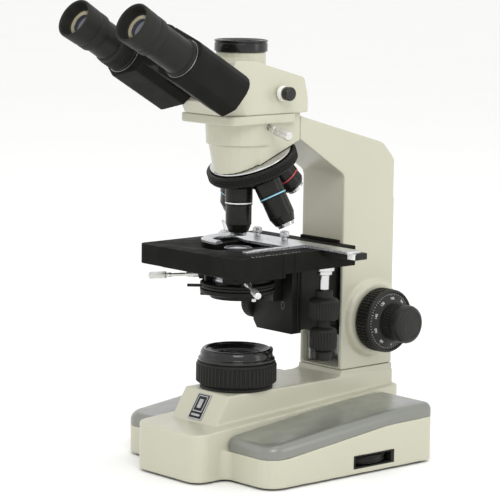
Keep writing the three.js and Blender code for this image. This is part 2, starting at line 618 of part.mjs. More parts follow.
// ---------------------------------------------------------------- condenser
function buildCondenser() {
  const ringZ = [172.2, 180];
  const seat = joined(solid(ring(24.3, 31, ringZ)), solid(box([-12, 12], [29, 43.7], [150, ringZ[1]])),
    ...[1, -1].map((side) => {
      const boss = box([28, SCREW_ROOT], [-4, 4], [171.8, 179]);
      return solid(boss.rotateZ(side > 0 ? -rad(SCREW_ANGLE) : Math.PI + rad(SCREW_ANGLE)));
    }));
  const low = solid(rod(CONDENSER_R + 1, [140, 171.8], RING_SIDES));
  const openFront = solid(box([-11, 11], [-40, -10], [171, ringZ[1] + OVER]));
  add('condenser_carrier', geometryOf(cut(seat, low, openFront)), BLACK());
  const [base, top] = CONDENSER_Z;
  const housing = turned([
    [10, base], [CONDENSER_R - 2, base], [CONDENSER_R, base + 2], [CONDENSER_R, 165], [30, 165], [30, 168.6],
    [CONDENSER_R, 168.6], [CONDENSER_R, top], [10, top], [10, base],
  ]);
  add('iris_housing', housing, BLACK());
  const barrel = turned([
    [10, top + 0.2], [24, top + 0.2], [24, 182], [19, 183], [19, 189], [13, 192], [13, 202.6], [10, 202.6],
    [10, top + 0.2],
  ]);
  const lens = turned([[0, 197], [10.4, 197], [10.4, 201], [0, 202.5]], 12);
  add('condenser_barrel', geometryOf(joined(solid(barrel), solid(lens))), SATIN());
  const lever = joined(solid(ring(30.4, 33.6, [165.6, 168])), solid(box([-46, -32], [-2, 2], [165.6, 168])));
  add('iris_lever', geometryOf(lever.rotate([0, 0, 48])), BLACK());
  for (const [name, side] of Object.entries(SIDES)) {
    const screw = turned([[0, 37], [2.9, 37], [2.9, 43], [1.6, 43.5], [1.6, 68], [3.3, 70], [3.3, SCREW_END],
      [0, SCREW_END]], ROD_SIDES);
    alongX(screw).translate(-SCREW_ROOT, 0, 0).rotateY(rad(SCREW_DROP)).translate(SCREW_ROOT, 0, 0);
    screw.rotateZ(side > 0 ? -rad(SCREW_ANGLE) : Math.PI + rad(SCREW_ANGLE));
    add(`centring_screw_${name}`, screw.translate(0, 0, SCREW_Z), CHROME());
  }
  // swing-out filter ring under the iris
  const holder = joined(solid(ring(20, 25, [156.5, 159.5])), solid(box([-35, -22], [-3, 3], [156.5, 159.5])));
  add('filter_holder', geometryOf(holder.rotate([0, 0, 30])), BLACK());
  const knob = turned([
    [0, 14.5], [3, 14.5], [3, 27], [13.3, 27], [14.3, 28], [14.3, 38], [13, 39.5], [0, 39.5],
  ], 18);
  add('condenser_knob', alongX(knob).rotateZ(Math.PI).translate(0, 53, 142), RUBBER());
}

// ---------------------------------------------------------------- nosepiece
// an objective hangs from its shoulder at z = 0, with its thread above
function objective(length, r, tipR) {
  return turned([
    [0, -length], [tipR, -length], [r - 3, -0.94 * length], [r, -0.77 * length], [r, -GAP], [7.5, -GAP],
    [7.5, 4], [0, 4],
  ], 14);
}

// a group whose -Z runs along one seat's axis, with its origin on the seat
function seatGroup(turret, index) {
  const turn = new THREE.Group();
  turn.rotation.z = (index * 2 * Math.PI) / SEATS;
  const seat = new THREE.Group();
  seat.position.set(0, -SEAT_R, -SEAT_DOWN);
  seat.rotation.x = -rad(TURRET_LEAN);
  turn.add(seat);
  turret.add(turn);
  return seat;
}

// a solid made in a seat's own frame, placed in the turret's frame
const atSeat = (geometry, index) => solid(geometry
  .rotateX(-rad(TURRET_LEAN))
  .translate(0, -SEAT_R, -SEAT_DOWN)
  .rotateZ((index * 2 * Math.PI) / SEATS));

function buildNosepiece() {
  const turret = new THREE.Group();
  turret.position.set(...TURRET_AT);
  turret.rotation.x = rad(TURRET_LEAN);
  upright.add(turret);

  // fixed plate with the pivot stud that the nosepiece turns on
  const studHead = -24;
  const mount = solid(turned([
    [0, studHead], [8, studHead], [8, studHead + 3], [5, studHead + 3], [5, RING_HIGH + GAP],
    [38, RING_HIGH + GAP], [38, MOUNT_HIGH], [0, MOUNT_HIGH],
  ], 24));
  const light = atSeat(rod(LIGHT_R, [5, 50]), 0);
  add('nosepiece_mount', geometryOf(mount.subtract(light)), CHROME(), turret);

  // knurled ring and cup in one piece, with a boss and a bored seat for each objective
  const slope = Math.tan(rad(TURRET_LEAN));
  const coneZ = (r) => -SEAT_DOWN + (r - SEAT_R) * slope;
  const cup = solid(turned([
    [5.4, coneZ(5.4)], [34.5, coneZ(34.5)], [38.5, RING_LOW - 1], [40.5, RING_LOW],
    [TURRET_R, RING_LOW + 2], [TURRET_R, RING_HIGH - 1], [TURRET_R - 1, RING_HIGH], [34, RING_HIGH],
    [31, coneZ(31) + 5], [5.4, coneZ(5.4) + 5], [5.4, coneZ(5.4)],
  ], 24));
  const indexes = [...Array(SEATS).keys()];
  const bosses = indexes.map((i) => atSeat(rod(12.6, [0, 4], 12), i));
  const bores = indexes.map((i) => atSeat(rod(8.4, [-2, 14], 8), i));
  const stud = solid(rod(5.4, [-40, 10]));
  const cap = atSeat(rod(11, [-2.5, 2], 12), 3);
  const body = cut(joined(cup, ...bosses), stud, ...bores).add(cap);
  add('nosepiece', geometryOf(body), BLACK(), turret);

  // [name, seat, length, tip radius]; the fourth seat is closed by a cap
  const objectives = [
    ['objective_100x', 0, 44.2, 7.4], ['objective_40x', 1, 44.5, 7.6], ['objective_4x', 2, 25.4, 8],
    ['objective_10x', 4, 37.5, 7],
  ];
  for (const [name, seat, length, tipR] of objectives) {
    add(name, objective(length, 12.2, tipR), BLACK(), seatGroup(turret, seat));
  }
}

// ---------------------------------------------------------------- head
function headBody() {
  const side = solid(prismX(outline([
    [57, HEAD_SEAM + 0.1], [52, 357, 4], [6, 369.5], [-5, 373.5], [-29.8, 374.4, 3], [-51.3, 337.2],
    [-42.5, HEAD_SEAM + 0.1],
  ]), -40, 40));
  const plan = solid(prismZ(outline(mirrored([[24, -53, 3], [33, -22, 8], [33, 58, 9]])), 320, 400));
  const draft = solid(prismY(outline([[33, HEAD_SEAM], [27, 376], [-27, 376], [-33, HEAD_SEAM]]), -60, 60));
  const port = solid(rod(22.6, [350, 380.3], RING_SIDES));
  const dovetail = solid(rod(19.7, [HEAD_SEAM - DOVETAIL, HEAD_SEAM + 3], 24));
  const room = solid(box([-21, 21], [-22, 40], [HEAD_SEAM + 4, 352]));
  const mouth = solid(rod(LIGHT_R + 4, [HEAD_SEAM - DOVETAIL - OVER, HEAD_SEAM + 6]));
  const shaft = solid(rod(PORT_BORE, [346, 381], RING_SIDES));
  const rodHole = solid(alongX(rod(3.3, [15, 40])).translate(0, 20, 344));
  const shell = cut(joined(side.intersect(plan).intersect(draft), port, dovetail), room, mouth, shaft, rodHole);
  // pin that both housings turn on, with its head in front of them
  const [back, front] = HOUSING_S;
  const pin = hubSolid(turned([[0, back - 8], [6, back - 8], [6, front + GAP], [13, front + GAP],
    [13, front + 2], [11, front + 3], [0, front + 3]], 24));
  return geometryOf(shell.add(pin));
}

// a piece made about the hub axis, with +Z out along it, placed on the microscope
const hubPlace = (geometry) => geometry.rotateX(rad(90 - HUB_RISE)).translate(0, 0, HUB_Z);
const hubSolid = (geometry) => solid(hubPlace(geometry));

// one prism housing about the hub axis, before it is swung down; side is 1 on the right
function housing(side) {
  const top = HOUSING_HALF;
  const corners = [
    [0.3, 0], [22, -top, 3], [50, -top, 5], [HOUSING_OUT, -9, 6], [HOUSING_OUT, top, 14], [0.3, top],
  ].map(([x, y, r]) => [side * x, y, r]);
  if (side < 0) corners.reverse();
  const block = solid(prismZ(outline(corners), ...HOUSING_S));
  const behind = [HOUSING_S[0], HOUSING_SPLIT - GAP];
  const ahead = [HOUSING_SPLIT + GAP, HOUSING_S[1]];
  const [own, other] = side > 0 ? [behind, ahead] : [ahead, behind];
  const disc = solid(rod(top, own, RING_SIDES));
  const stretch = side > 0 ? [other[0] - GAP, other[1] + OVER] : [other[0] - OVER, other[1] + GAP];
  const clear = solid(rod(top + 0.6, stretch, RING_SIDES));
  const shaft = solid(rod(6.4, [HOUSING_S[0] - OVER, HOUSING_S[1] + OVER]));
  const x = side * TUBE_RADIUS;
  const tube = solid(ring(11.9, 15.8, [HOUSING_S[1] - 3, 150], 20).translate(x, 0, 0));
  const collar = solid(ring(11.9, 17.6, [HOUSING_S[1] - 1, 116], 20).translate(x, 0, 0));
  const bore = solid(rod(11.9, [HOUSING_S[0] + 14, 151], 20).translate(x, 0, 0));
  const passage = solid(box(side > 0 ? [12, 44] : [-44, -12], [-9, 9], [HOUSING_S[0] - OVER, HOUSING_S[0] + 20]));
  return cut(joined(block.subtract(clear), disc, tube, collar), shaft, bore, passage);
}

// eyepiece: barrel in the tube, broad eye guard with a cup, eye lens
function eyepiece() {
  const face = 150.3;
  return turned([
    [0, 156], [8, 156], [8, 141], [11.6, 141], [11.6, face], [17.8, face], [17.5, 164],
    [EYECUP_R, EYEPIECE_END - 2], [EYECUP_R - 0.7, EYEPIECE_END], [EYECUP_R - 2.4, EYEPIECE_END - 0.4],
    [14, 168.5], [0, 167.2],
  ], 20);
}

function buildHead() {
  add('head_body', headBody(), PAINT());
  add('port_ring', ring(PORT_BORE, 24.2, [380.5, 391]), BLACK());
  const pull = solid(alongX(turned([[0, 24], [3, 24], [3, 33.4], [5.2, 33.6], [5.2, 37], [3.2, 37.4], [3.2, 38],
    [6.3, 38.2], [6.3, 45.2], [5.6, 46], [0, 46]])).translate(0, 20, 344));
  const slide = solid(box([-14, 10], [-12, 27], [336, 349]));
  const stem = solid(box([9, 25], [18, 22], [342, 346]));
  add('splitter_rod', geometryOf(joined(pull, slide, stem)), BLACK());

  const hub = new THREE.Group();
  hub.position.z = HUB_Z;
  hub.rotation.x = rad(90 - HUB_RISE);
  upright.add(hub);
  for (const [name, side] of Object.entries(SIDES)) {
    const wing = new THREE.Group();
    wing.rotation.z = -side * rad(WING_DROP);
    hub.add(wing);
    add(`prism_housing_${name}`, geometryOf(housing(side)), BLACK(), wing);
    add(`eyepiece_${name}`, eyepiece().translate(side * TUBE_RADIUS, 0, 0), RUBBER(), wing);
    if (side < 0) {
      const dioptre = turned([[16.1, 116.4], [17.8, 116.4], [17.8, 131], [17, 132.5], [16.1, 132.5],
        [16.1, 116.4]], 20);
      add('dioptre_ring', dioptre.translate(side * TUBE_RADIUS, 0, 0), RUBBER(), wing);
    }
  }
}

buildBase();
buildLamp();
buildControls();
buildArm();
buildFocus();
buildStage();
buildDrive();
buildCarriage();
buildCondenser();
buildNosepiece();
buildHead();

export default microscope;
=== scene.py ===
"""Looks of a trinocular laboratory microscope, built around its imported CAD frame.

Everything is in metres in the frame's own axes; helpers take millimetres and scale them by MM.
"""

import json
import math

import bmesh
import bpy
from mathutils import Matrix, Vector


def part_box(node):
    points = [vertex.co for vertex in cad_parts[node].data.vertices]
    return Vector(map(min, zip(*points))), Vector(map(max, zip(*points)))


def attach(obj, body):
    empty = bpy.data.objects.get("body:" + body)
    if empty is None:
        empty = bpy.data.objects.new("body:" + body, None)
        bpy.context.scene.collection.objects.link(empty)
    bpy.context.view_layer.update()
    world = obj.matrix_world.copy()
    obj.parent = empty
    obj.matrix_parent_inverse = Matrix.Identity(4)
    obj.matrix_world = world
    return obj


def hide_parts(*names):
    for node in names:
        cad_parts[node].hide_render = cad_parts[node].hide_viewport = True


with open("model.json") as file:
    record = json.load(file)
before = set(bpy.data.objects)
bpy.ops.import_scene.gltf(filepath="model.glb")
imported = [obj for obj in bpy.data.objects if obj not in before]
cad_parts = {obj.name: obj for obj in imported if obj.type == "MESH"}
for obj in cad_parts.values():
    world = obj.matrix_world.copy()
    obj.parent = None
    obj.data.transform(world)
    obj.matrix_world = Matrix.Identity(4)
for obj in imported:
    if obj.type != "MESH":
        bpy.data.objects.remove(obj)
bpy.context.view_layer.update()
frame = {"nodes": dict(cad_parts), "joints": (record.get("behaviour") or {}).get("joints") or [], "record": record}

# ---------------------------------------------------------------- frame and dimensions
MM = 0.001
JOINT = {joint["name"]: joint for joint in frame["joints"]}
BODY_OF = {n: body for body, ns in frame["record"]["behaviour"]["bodies"].items() for n in ns}
AXIS_Y = JOINT["head_swivel"]["pos_m"][1] / MM  # optical axis
SIDES = {"left": -1, "right": 1}

SEATS = 5
LEAN = math.degrees(math.asin(JOINT["nosepiece_turn"]["axis"][1]))
SEAT_R = 22.23  # from the turret's axis to each objective's shoulder
SEAT_DOWN = 13.47
HUB_TILT = 60.0  # from straight up to the axis that the eyetubes turn on
WING_DROP = 17.0
TUBE_R = 40.8  # from that axis to each eyetube
EDGE = math.radians(35)  # sharper folds than this stay crisp


def low(node, axis):
    """Lowest coordinate of a CAD node, in mm."""
    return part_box(node)[0][axis] / MM


def high(node, axis):
    """Highest coordinate of a CAD node, in mm."""
    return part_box(node)[1][axis] / MM


def middle(node, axis):
    return (low(node, axis) + high(node, axis)) / 2


def at(x, y, z):
    """A place in mm, with y measured from the optical axis."""
    return Matrix.Translation((x * MM, (y + AXIS_Y) * MM, z * MM))


def over(node):
    """The upright line through the middle of a CAD node."""
    return Matrix.Translation((middle(node, 0) * MM, middle(node, 1) * MM, 0))


def spin(angle, axis):
    return Matrix.Rotation(math.radians(angle), 4, axis)


def joint_place(name):
    return Matrix.Translation(JOINT[name]["pos_m"])


ALONG_X = spin(90, "Y")  # turns +Z to +X
ALONG_LEFT = spin(-90, "Y")


# ---------------------------------------------------------------- materials
class Look:
    """One material: a Principled shader with procedural detail added to it."""

    def __init__(self, name, color, roughness, metallic=0.0, **sockets):
        self.material = bpy.data.materials.new(name)
        self.material.use_nodes = True
        self.tree = self.material.node_tree
        self.shader = self.tree.nodes["Principled BSDF"]
        self.color = color
        self.roughness = roughness
        self.shader.inputs["Base Color"].default_value = (*color, 1)
        self.shader.inputs["Roughness"].default_value = roughness
        self.shader.inputs["Metallic"].default_value = metallic
        for key, value in sockets.items():
            self.shader.inputs[key.replace("_", " ")].default_value = value
        self.coords = self.tree.nodes.new("ShaderNodeTexCoord").outputs["Object"]

    def node(self, kind, **settings):
        node = self.tree.nodes.new("ShaderNode" + kind)
        for key, value in settings.items():
            setattr(node, key, value)
        return node

    def noise(self, scale, detail=3.0, stretch=None):
        """Noise with cells of about 1/scale metres; stretch scales X, Y and Z for grain."""
        source = self.coords
        if stretch:
            mapping = self.node("Mapping")
            mapping.inputs["Scale"].default_value = stretch
            self.tree.links.new(source, mapping.inputs["Vector"])
            source = mapping.outputs["Vector"]
        noise = self.node("TexNoise")
        noise.inputs["Scale"].default_value = scale
        noise.inputs["Detail"].default_value = detail
        self.tree.links.new(source, noise.inputs["Vector"])
        return noise.outputs["Fac"]

    def ramp(self, factor, stops):
        ramp = self.node("ValToRGB")
        elements = ramp.color_ramp.elements
        for element, (place, color) in zip(elements, stops):
            element.position = place
            element.color = (*color, 1)
        for place, color in stops[len(elements):]:
            elements.new(place).color = (*color, 1)
        self.tree.links.new(factor, ramp.inputs["Fac"])
        return ramp.outputs["Color"]

    def mottle(self, scale, spread, stretch=None):
        """Colour that drifts by a share of itself."""
        dark = [c * (1 - spread) for c in self.color]
        light = [min(1.0, c * (1 + spread)) for c in self.color]
        output = self.ramp(self.noise(scale, stretch=stretch), [(0.3, dark), (0.7, light)])
        self.tree.links.new(output, self.shader.inputs["Base Color"])
        self.base = output
        return self

    def smudge(self, scale, spread, stretch=None):
        """Roughness that drifts, as handling leaves it."""
        spread_map = self.node("MapRange")
        spread_map.inputs["From Min"].default_value = 0.3
        spread_map.inputs["From Max"].default_value = 0.7
        spread_map.inputs["To Min"].default_value = max(0.02, self.roughness - spread)
        spread_map.inputs["To Max"].default_value = self.roughness + spread
        self.tree.links.new(self.noise(scale, 4.0, stretch), spread_map.inputs["Value"])
        self.tree.links.new(spread_map.outputs["Result"], self.shader.inputs["Roughness"])
        return self

    def grain(self, scale, depth, stretch=None):
        """Fine surface relief, depth in mm."""
        bump = self.node("Bump")
        bump.inputs["Distance"].default_value = depth * MM
        bump.inputs["Strength"].default_value = 1.0
        self.tree.links.new(self.noise(scale, 2.0, stretch), bump.inputs["Height"])
        self.tree.links.new(bump.outputs["Normal"], self.shader.inputs["Normal"])
        return self

    def wear_and_glint(self, color, radius, amount, scale=260.0):
        """Edges lightened to another colour within radius mm of them: partly rubbed-through wear, partly a painted
        highlight that stands in for glints along the edges.
        """
        bevel = self.node("Bevel", samples=4)
        bevel.inputs["Radius"].default_value = radius * MM
        flat = self.node("NewGeometry")
        dot = self.node("VectorMath", operation="DOT_PRODUCT")
        self.tree.links.new(bevel.outputs["Normal"], dot.inputs[0])
        self.tree.links.new(flat.outputs["Normal"], dot.inputs[1])
        edge = self.node("MapRange")
        edge.inputs["From Min"].default_value = 0.985
        edge.inputs["From Max"].default_value = 0.86
        self.tree.links.new(dot.outputs["Value"], edge.inputs["Value"])
        patchy = self.node("MapRange")
        patchy.inputs["From Min"].default_value = 0.62 - amount
        patchy.inputs["From Max"].default_value = 0.72 - amount * 0.5
        self.tree.links.new(self.noise(scale, 5.0), patchy.inputs["Value"])
        wear_and_glint_mask = self.node("Math", operation="MULTIPLY")
        self.tree.links.new(edge.outputs["Result"], wear_and_glint_mask.inputs[0])
        self.tree.links.new(patchy.outputs["Result"], wear_and_glint_mask.inputs[1])
        # mixes in the lighter edge colour: partly wear, partly painted edge highlight
        mix = self.node("Mix", data_type="RGBA")
        self.tree.links.new(wear_and_glint_mask.outputs["Value"], mix.inputs["Factor"])
        self.tree.links.new(self.base, mix.inputs["A"])
        mix.inputs["B"].default_value = (*color, 1)
        self.tree.links.new(mix.outputs["Result"], self.shader.inputs["Base Color"])
        return self


def colour_band(name, color):
    return Look(name, color, 0.35, Coat_Weight=0.3).mottle(300, 0.05).material


# each look: colour, roughness, metallic and shader sockets, then its procedural detail
PAINT = (Look("cream_enamel", (0.49, 0.483, 0.378), 0.34, Coat_Weight=0.2, Coat_Roughness=0.15)
         .mottle(9, 0.022).smudge(60, 0.05).grain(900, 0.012).material)
PAD = (Look("grey_enamel", (0.172, 0.180, 0.156), 0.36, Coat_Weight=0.7, Coat_Roughness=0.22)
       .mottle(14, 0.05).smudge(70, 0.07).grain(1500, 0.022).material)
# black_enamel's lighter edge colour is partly wear, partly painted highlight along the edges
BLACK = (Look("black_enamel", (0.0105, 0.0105, 0.009), 0.46, Specular_IOR_Level=0.16)
         .mottle(40, 0.18).smudge(90, 0.08).grain(1700, 0.016).wear_and_glint((0.16, 0.16, 0.145), 0.5, 0.05).material)
# stage_enamel's lighter edges are partly wear, partly painted highlight standing in for the bright glints on the
# stage's edges
STAGE = (Look("stage_enamel", (0.0105, 0.0105, 0.009), 0.6, Specular_IOR_Level=0.04)
         .mottle(40, 0.2).smudge(70, 0.1).grain(2200, 0.012).wear_and_glint((0.2, 0.2, 0.16), 0.7, 0.16, 120).material)
HOUSING = (Look("housing_black", (0.0115, 0.0115, 0.0105), 0.52, Specular_IOR_Level=0.08)
           .mottle(60, 0.12).smudge(80, 0.06).grain(2400, 0.03).material)
OBJECTIVE = (Look("objective_black", (0.0085, 0.0085, 0.0075), 0.27, Specular_IOR_Level=0.24)
             .mottle(200, 0.2).smudge(150, 0.05, (1, 1, 12)).material)
GLOSS = (Look("gloss_black", (0.009, 0.009, 0.0085), 0.17, Specular_IOR_Level=0.45)
         .mottle(120, 0.2).smudge(90, 0.07).grain(1500, 0.006).material)
PLASTIC = (Look("satin_black_plastic", (0.012, 0.012, 0.0105), 0.44, Specular_IOR_Level=0.2)
           .mottle(90, 0.14).smudge(110, 0.07).grain(2600, 0.02).material)
KNOB = (Look("ribbed_knob", (0.017, 0.017, 0.0145), 0.42, Specular_IOR_Level=0.24)
        .mottle(90, 0.14).smudge(110, 0.07).grain(2600, 0.02).material)
RUBBER = (Look("ribbed_rubber", (0.015, 0.015, 0.0125), 0.55, Specular_IOR_Level=0.2)
          .mottle(120, 0.16).smudge(120, 0.07).grain(3200, 0.03).material)
CHROME = (Look("bright_plating", (0.6, 0.6, 0.61), 0.14, 1.0)
          .mottle(150, 0.03).smudge(220, 0.04, (1, 1, 8)).material)
PLATED = (Look("plated_knurl", (0.66, 0.66, 0.63), 0.36, 0.85)
          .mottle(300, 0.08).smudge(260, 0.08).grain(1600, 0.03).material)
STEEL = (Look("satin_steel", (0.58, 0.585, 0.6), 0.3, 1.0)
         .mottle(90, 0.06).smudge(260, 0.08, (12, 1, 1)).grain(900, 0.006, (14, 1, 1)).material)
GREY = (Look("brushed_grey", (0.40, 0.405, 0.41), 0.38, 1.0)
        .mottle(60, 0.08).smudge(300, 0.1, (14, 1, 1)).grain(1100, 0.008, (16, 1, 1)).material)
LENS = (Look("coated_lens", (0.035, 0.04, 0.055), 0.04, 0.0, Coat_Weight=0.6, Coat_Roughness=0.02)
        .mottle(30, 0.25).material)
FROST = (Look("frosted_glass", (0.75, 0.77, 0.78), 0.5)
         .mottle(60, 0.04).grain(2500, 0.03).material)
GILT = (Look("gilt_ring", (0.30, 0.27, 0.19), 0.33, 1.0)
        .mottle(200, 0.08).smudge(200, 0.06).material)
MARK = (Look("white_mark", (0.72, 0.72, 0.70), 0.5)
        .mottle(400, 0.05).material)
PALE = (Look("pale_plastic", (0.78, 0.77, 0.73), 0.35, Subsurface_Weight=0.1)
        .mottle(120, 0.03).smudge(150, 0.05).material)
BOARD = Look("circuit_green", (0.02, 0.11, 0.045), 0.4).mottle(500, 0.3).material
BLUE = colour_band("light_blue_band", (0.25, 0.58, 0.72))
RED = colour_band("red_band", (0.55, 0.03, 0.03))
WHITE = colour_band("white_band", (0.8, 0.8, 0.8))


# ---------------------------------------------------------------- piece helpers
def mesh_object(name, bm, materials):
    mesh = bpy.data.meshes.new(name)
    bmesh.ops.recalc_face_normals(bm, faces=bm.faces)
    bm.to_mesh(mesh)
    bm.free()
    for material in materials if isinstance(materials, (list, tuple)) else [materials]:
        mesh.materials.append(material)
    mesh.shade_smooth()
    mesh.set_sharp_from_angle(angle=EDGE)
    piece = bpy.data.objects.new(name, mesh)
    bpy.context.scene.collection.objects.link(piece)
    return piece


def settle(piece, nodes=(), body=None):
    """Puts a piece on its body, in place of CAD nodes where it stands for some."""
    nodes = [nodes] if isinstance(nodes, str) else list(nodes)
    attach(piece, body or BODY_OF[nodes[0]])
    if nodes:
        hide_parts(*nodes)


def softened(profile, radius, closed):
    """The profile with each corner rounded by a small curve; points with a rib depth stay."""
    points = []
    count = len(profile)
    for i, point in enumerate(profile):
        at_end = not closed and i in (0, count - 1)
        before, after = profile[i - 1], profile[(i + 1) % count]
        if at_end or len(point) > 2 or point[0] < 1e-6:
            points.append(point)
            continue
        here = Vector(point[:2])
        back, on = Vector(before[:2]) - here, Vector(after[:2]) - here
        if min(back.length, on.length) < 1e-6 or abs(back.angle(on) - math.pi) < 0.2:
            points.append(point)
            continue
        start = here + back.normalized() * min(radius, back.length * 0.45)
        end = here + on.normalized() * min(radius, on.length * 0.45)
        for t in (0.0, 0.33, 0.67, 1.0):
            points.append(tuple(start * (1 - t) ** 2 + here * 2 * t * (1 - t) + end * t * t))
    return points


RIB = (0.2, 1, 1, 1, 1, 0.2, 0, 0)  # height of one rib round its pitch


def dome(r, z, rise, first, steps):
    """Profile points of a rounded top, from its edge at (r, z) inwards."""
    angles = [k * math.pi / steps for k in range(first, steps // 2)]
    return [(r * math.cos(t), z + rise * math.sin(t)) for t in angles]


def turned(name, profile, material, matrix=None, steps=72, ribs=0, soft=0.4, marks=None):
    """A piece turned about local Z from (r, z) points in mm.

    A third value at a point is the depth of the grooves between ribs there. The profile starts and ends
    on the axis, or closes on itself. marks gives bands of another material: (material, z0, z1).
    """
    closed = profile[0][0] > 1e-6
    profile = softened(profile, soft, closed)
    count = ribs * len(RIB) if ribs else steps
    bm = bmesh.new()
    rings = []
    for point in profile:
        r, z, depth = (*point, 0.0)[:3]
        if r < 1e-6:
            rings.append([bm.verts.new((0, 0, z * MM))])
            continue
        ring = []
        for k in range(count):
            angle = 2 * math.pi * k / count
            out = (r - depth * (1 - RIB[k % len(RIB)])) * MM
            ring.append(bm.verts.new((out * math.cos(angle), out * math.sin(angle), z * MM)))
        rings.append(ring)
    pairs = list(zip(rings, rings[1:]))
    if closed:
        pairs.append((rings[-1], rings[0]))
    for one, two in pairs:
        for k in range(count):
            corners = [one[k % len(one)], one[(k + 1) % len(one)], two[(k + 1) % len(two)], two[k % len(two)]]
            corners = list(dict.fromkeys(corners))
            if len(corners) > 2:
                bm.faces.new(corners)
    materials = [material]
    for index, (mark, z0, z1) in enumerate(marks or [], start=1):
        materials.append(mark)
        for face in bm.faces:
            if z0 * MM < face.calc_center_median().z < z1 * MM:
                face.material_index = index
    bmesh.ops.transform(bm, matrix=matrix or Matrix(), verts=bm.verts)
    return mesh_object(name, bm, materials)


def copied(node):
    """A CAD node's mesh, welded and with its flat faces whole."""
    bm = bmesh.new()
    bm.from_mesh(frame["nodes"][node].data)
    bmesh.ops.remove_doubles(bm, verts=bm.verts, dist=0.00002)
    bmesh.ops.dissolve_limit(bm, angle_limit=math.radians(0.6), verts=bm.verts, edges=bm.edges)
    return bm


def modified(piece, modifiers):
    """Applies modifiers, each a kind and its settings."""
    for kind, settings in modifiers:
        modifier = piece.modifiers.new(kind.lower(), kind)
        for key, value in settings.items():
            setattr(modifier, key, value)
    graph = bpy.context.evaluated_depsgraph_get()
    mesh = bpy.data.meshes.new_from_object(piece.evaluated_get(graph))
    piece.modifiers.clear()
    old = piece.data
    piece.data = mesh
    bpy.data.meshes.remove(old)
    mesh.shade_smooth()
    mesh.set_sharp_from_angle(angle=EDGE)


def bevelled(node, material, width, name=None):
    """A machined or moulded CAD shape with its edges broken."""
    piece = mesh_object(name or node + "_shape", copied(node), material)
    modified(piece, [("BEVEL", dict(width=width * MM, segments=3, limit_method="ANGLE",
                                    angle_limit=math.radians(28), use_clamp_overlap=True))])
    settle(piece, node)


def cast(node, material, voxel, rounds):
    """A cast CAD shape whose edges and inner corners are all rounded, as in a mould."""
    piece = mesh_object(node + "_cast", copied(node), material)
    grain = voxel * 1.0
    modified(piece, [
        ("REMESH", dict(mode="VOXEL", voxel_size=grain * MM, use_smooth_shade=True)),
        ("SMOOTH", dict(factor=0.5, iterations=rounds)),
        ("DECIMATE", dict(ratio=0.25)),
    ])
    settle(piece, node)


def block(name, x, y, z, material, width=0.4, matrix=None):
    """A bevelled bar between two corners, in mm."""
    bm = bmesh.new()
    bmesh.ops.create_cube(bm, size=1)
    scale = Matrix.Diagonal((x[1] - x[0], y[1] - y[0], z[1] - z[0], 1 / MM)) * MM
    place = Matrix.Translation(((x[0] + x[1]) / 2 * MM, (y[0] + y[1]) / 2 * MM, (z[0] + z[1]) / 2 * MM))
    bmesh.ops.transform(bm, matrix=(matrix or Matrix()) @ place @ scale, verts=bm.verts)
    bmesh.ops.bevel(bm, geom=bm.edges, offset=width * MM, segments=3, profile=0.5, affect="EDGES")
    return mesh_object(name, bm, material)


def rounded_path(corners, steps=6, straight=1):
    """Closed outline through corners (x, y, radius), with arcs of steps and each straight in equal parts."""
    arcs = []
    for i, (x, y, radius) in enumerate(corners):
        here = Vector((x, y))
        back = (Vector(corners[i - 1][:2]) - here).normalized()
        on = (Vector(corners[(i + 1) % len(corners)][:2]) - here).normalized()
        radius = max(radius, 0.02)
        half = back.angle(on) / 2
        centre = here + (back + on).normalized() * radius / math.sin(half)
        start = here + back * radius / math.tan(half) - centre
        end = here + on * radius / math.tan(half) - centre
        sweep = start.angle_signed(end)
        arc = []
        for k in range(steps + 1):
            turn = -sweep * k / steps
            arc.append(centre + Vector((start.x * math.cos(turn) - start.y * math.sin(turn),
                                        start.x * math.sin(turn) + start.y * math.cos(turn))))
        arcs.append(arc)
    points = []
    for i, arc in enumerate(arcs):
        points.extend(arc)
        following = arcs[(i + 1) % len(arcs)][0]
        points.extend(arc[-1].lerp(following, k / straight) for k in range(1, straight))
    return points


def plate(name, corners, z, material, width=0.3, matrix=None):
    """A flat plate with rounded corners and broken edges, in mm, between two levels."""
    bm = bmesh.new()
    path = rounded_path(corners)
    rings = [[bm.verts.new((p.x * MM, p.y * MM, level * MM)) for p in path] for level in z]
    bm.faces.new(rings[0])
    bm.faces.new(rings[1])
    count = len(path)
    for k in range(count):
        bm.faces.new((rings[0][k], rings[0][(k + 1) % count], rings[1][(k + 1) % count], rings[1][k]))
    rims = [e for e in bm.edges if abs(e.verts[0].co.z - e.verts[1].co.z) < 1e-9]
    bmesh.ops.bevel(bm, geom=rims, offset=width * MM, segments=2, profile=0.5, affect="EDGES",
                    clamp_overlap=True)
    bmesh.ops.transform(bm, matrix=matrix or Matrix(), verts=bm.verts)
    return mesh_object(name, bm, material)


# ---------------------------------------------------------------- base
PAD_TOP = ((-50, 39.5), (-42, 40.5), (100, 54.6), (153, 56.8))  # Y and height along the pads
PAD_LINE = ((-50, 28.2), (-29, 28.2), (94, 42.2), (153, 43.6))  # and where they meet the casting
PAD_ROLL = 7.5  # radius of the pads' outer edge
WING_CORNERS = (17, 8)  # front and rear


def level_along(line, y):
    """Height of a line at y, with its bends smoothed."""
    total = 0.0
    for shift in (-7, 0, 7):
        place = min(max(y + shift, line[0][0]), line[-1][0])
        for (y0, z0), (y1, z1) in zip(line, line[1:]):
            if y0 <= place <= y1:
                total += z0 + (z1 - z0) * (place - y0) / (y1 - y0)
                break
    return total / 3


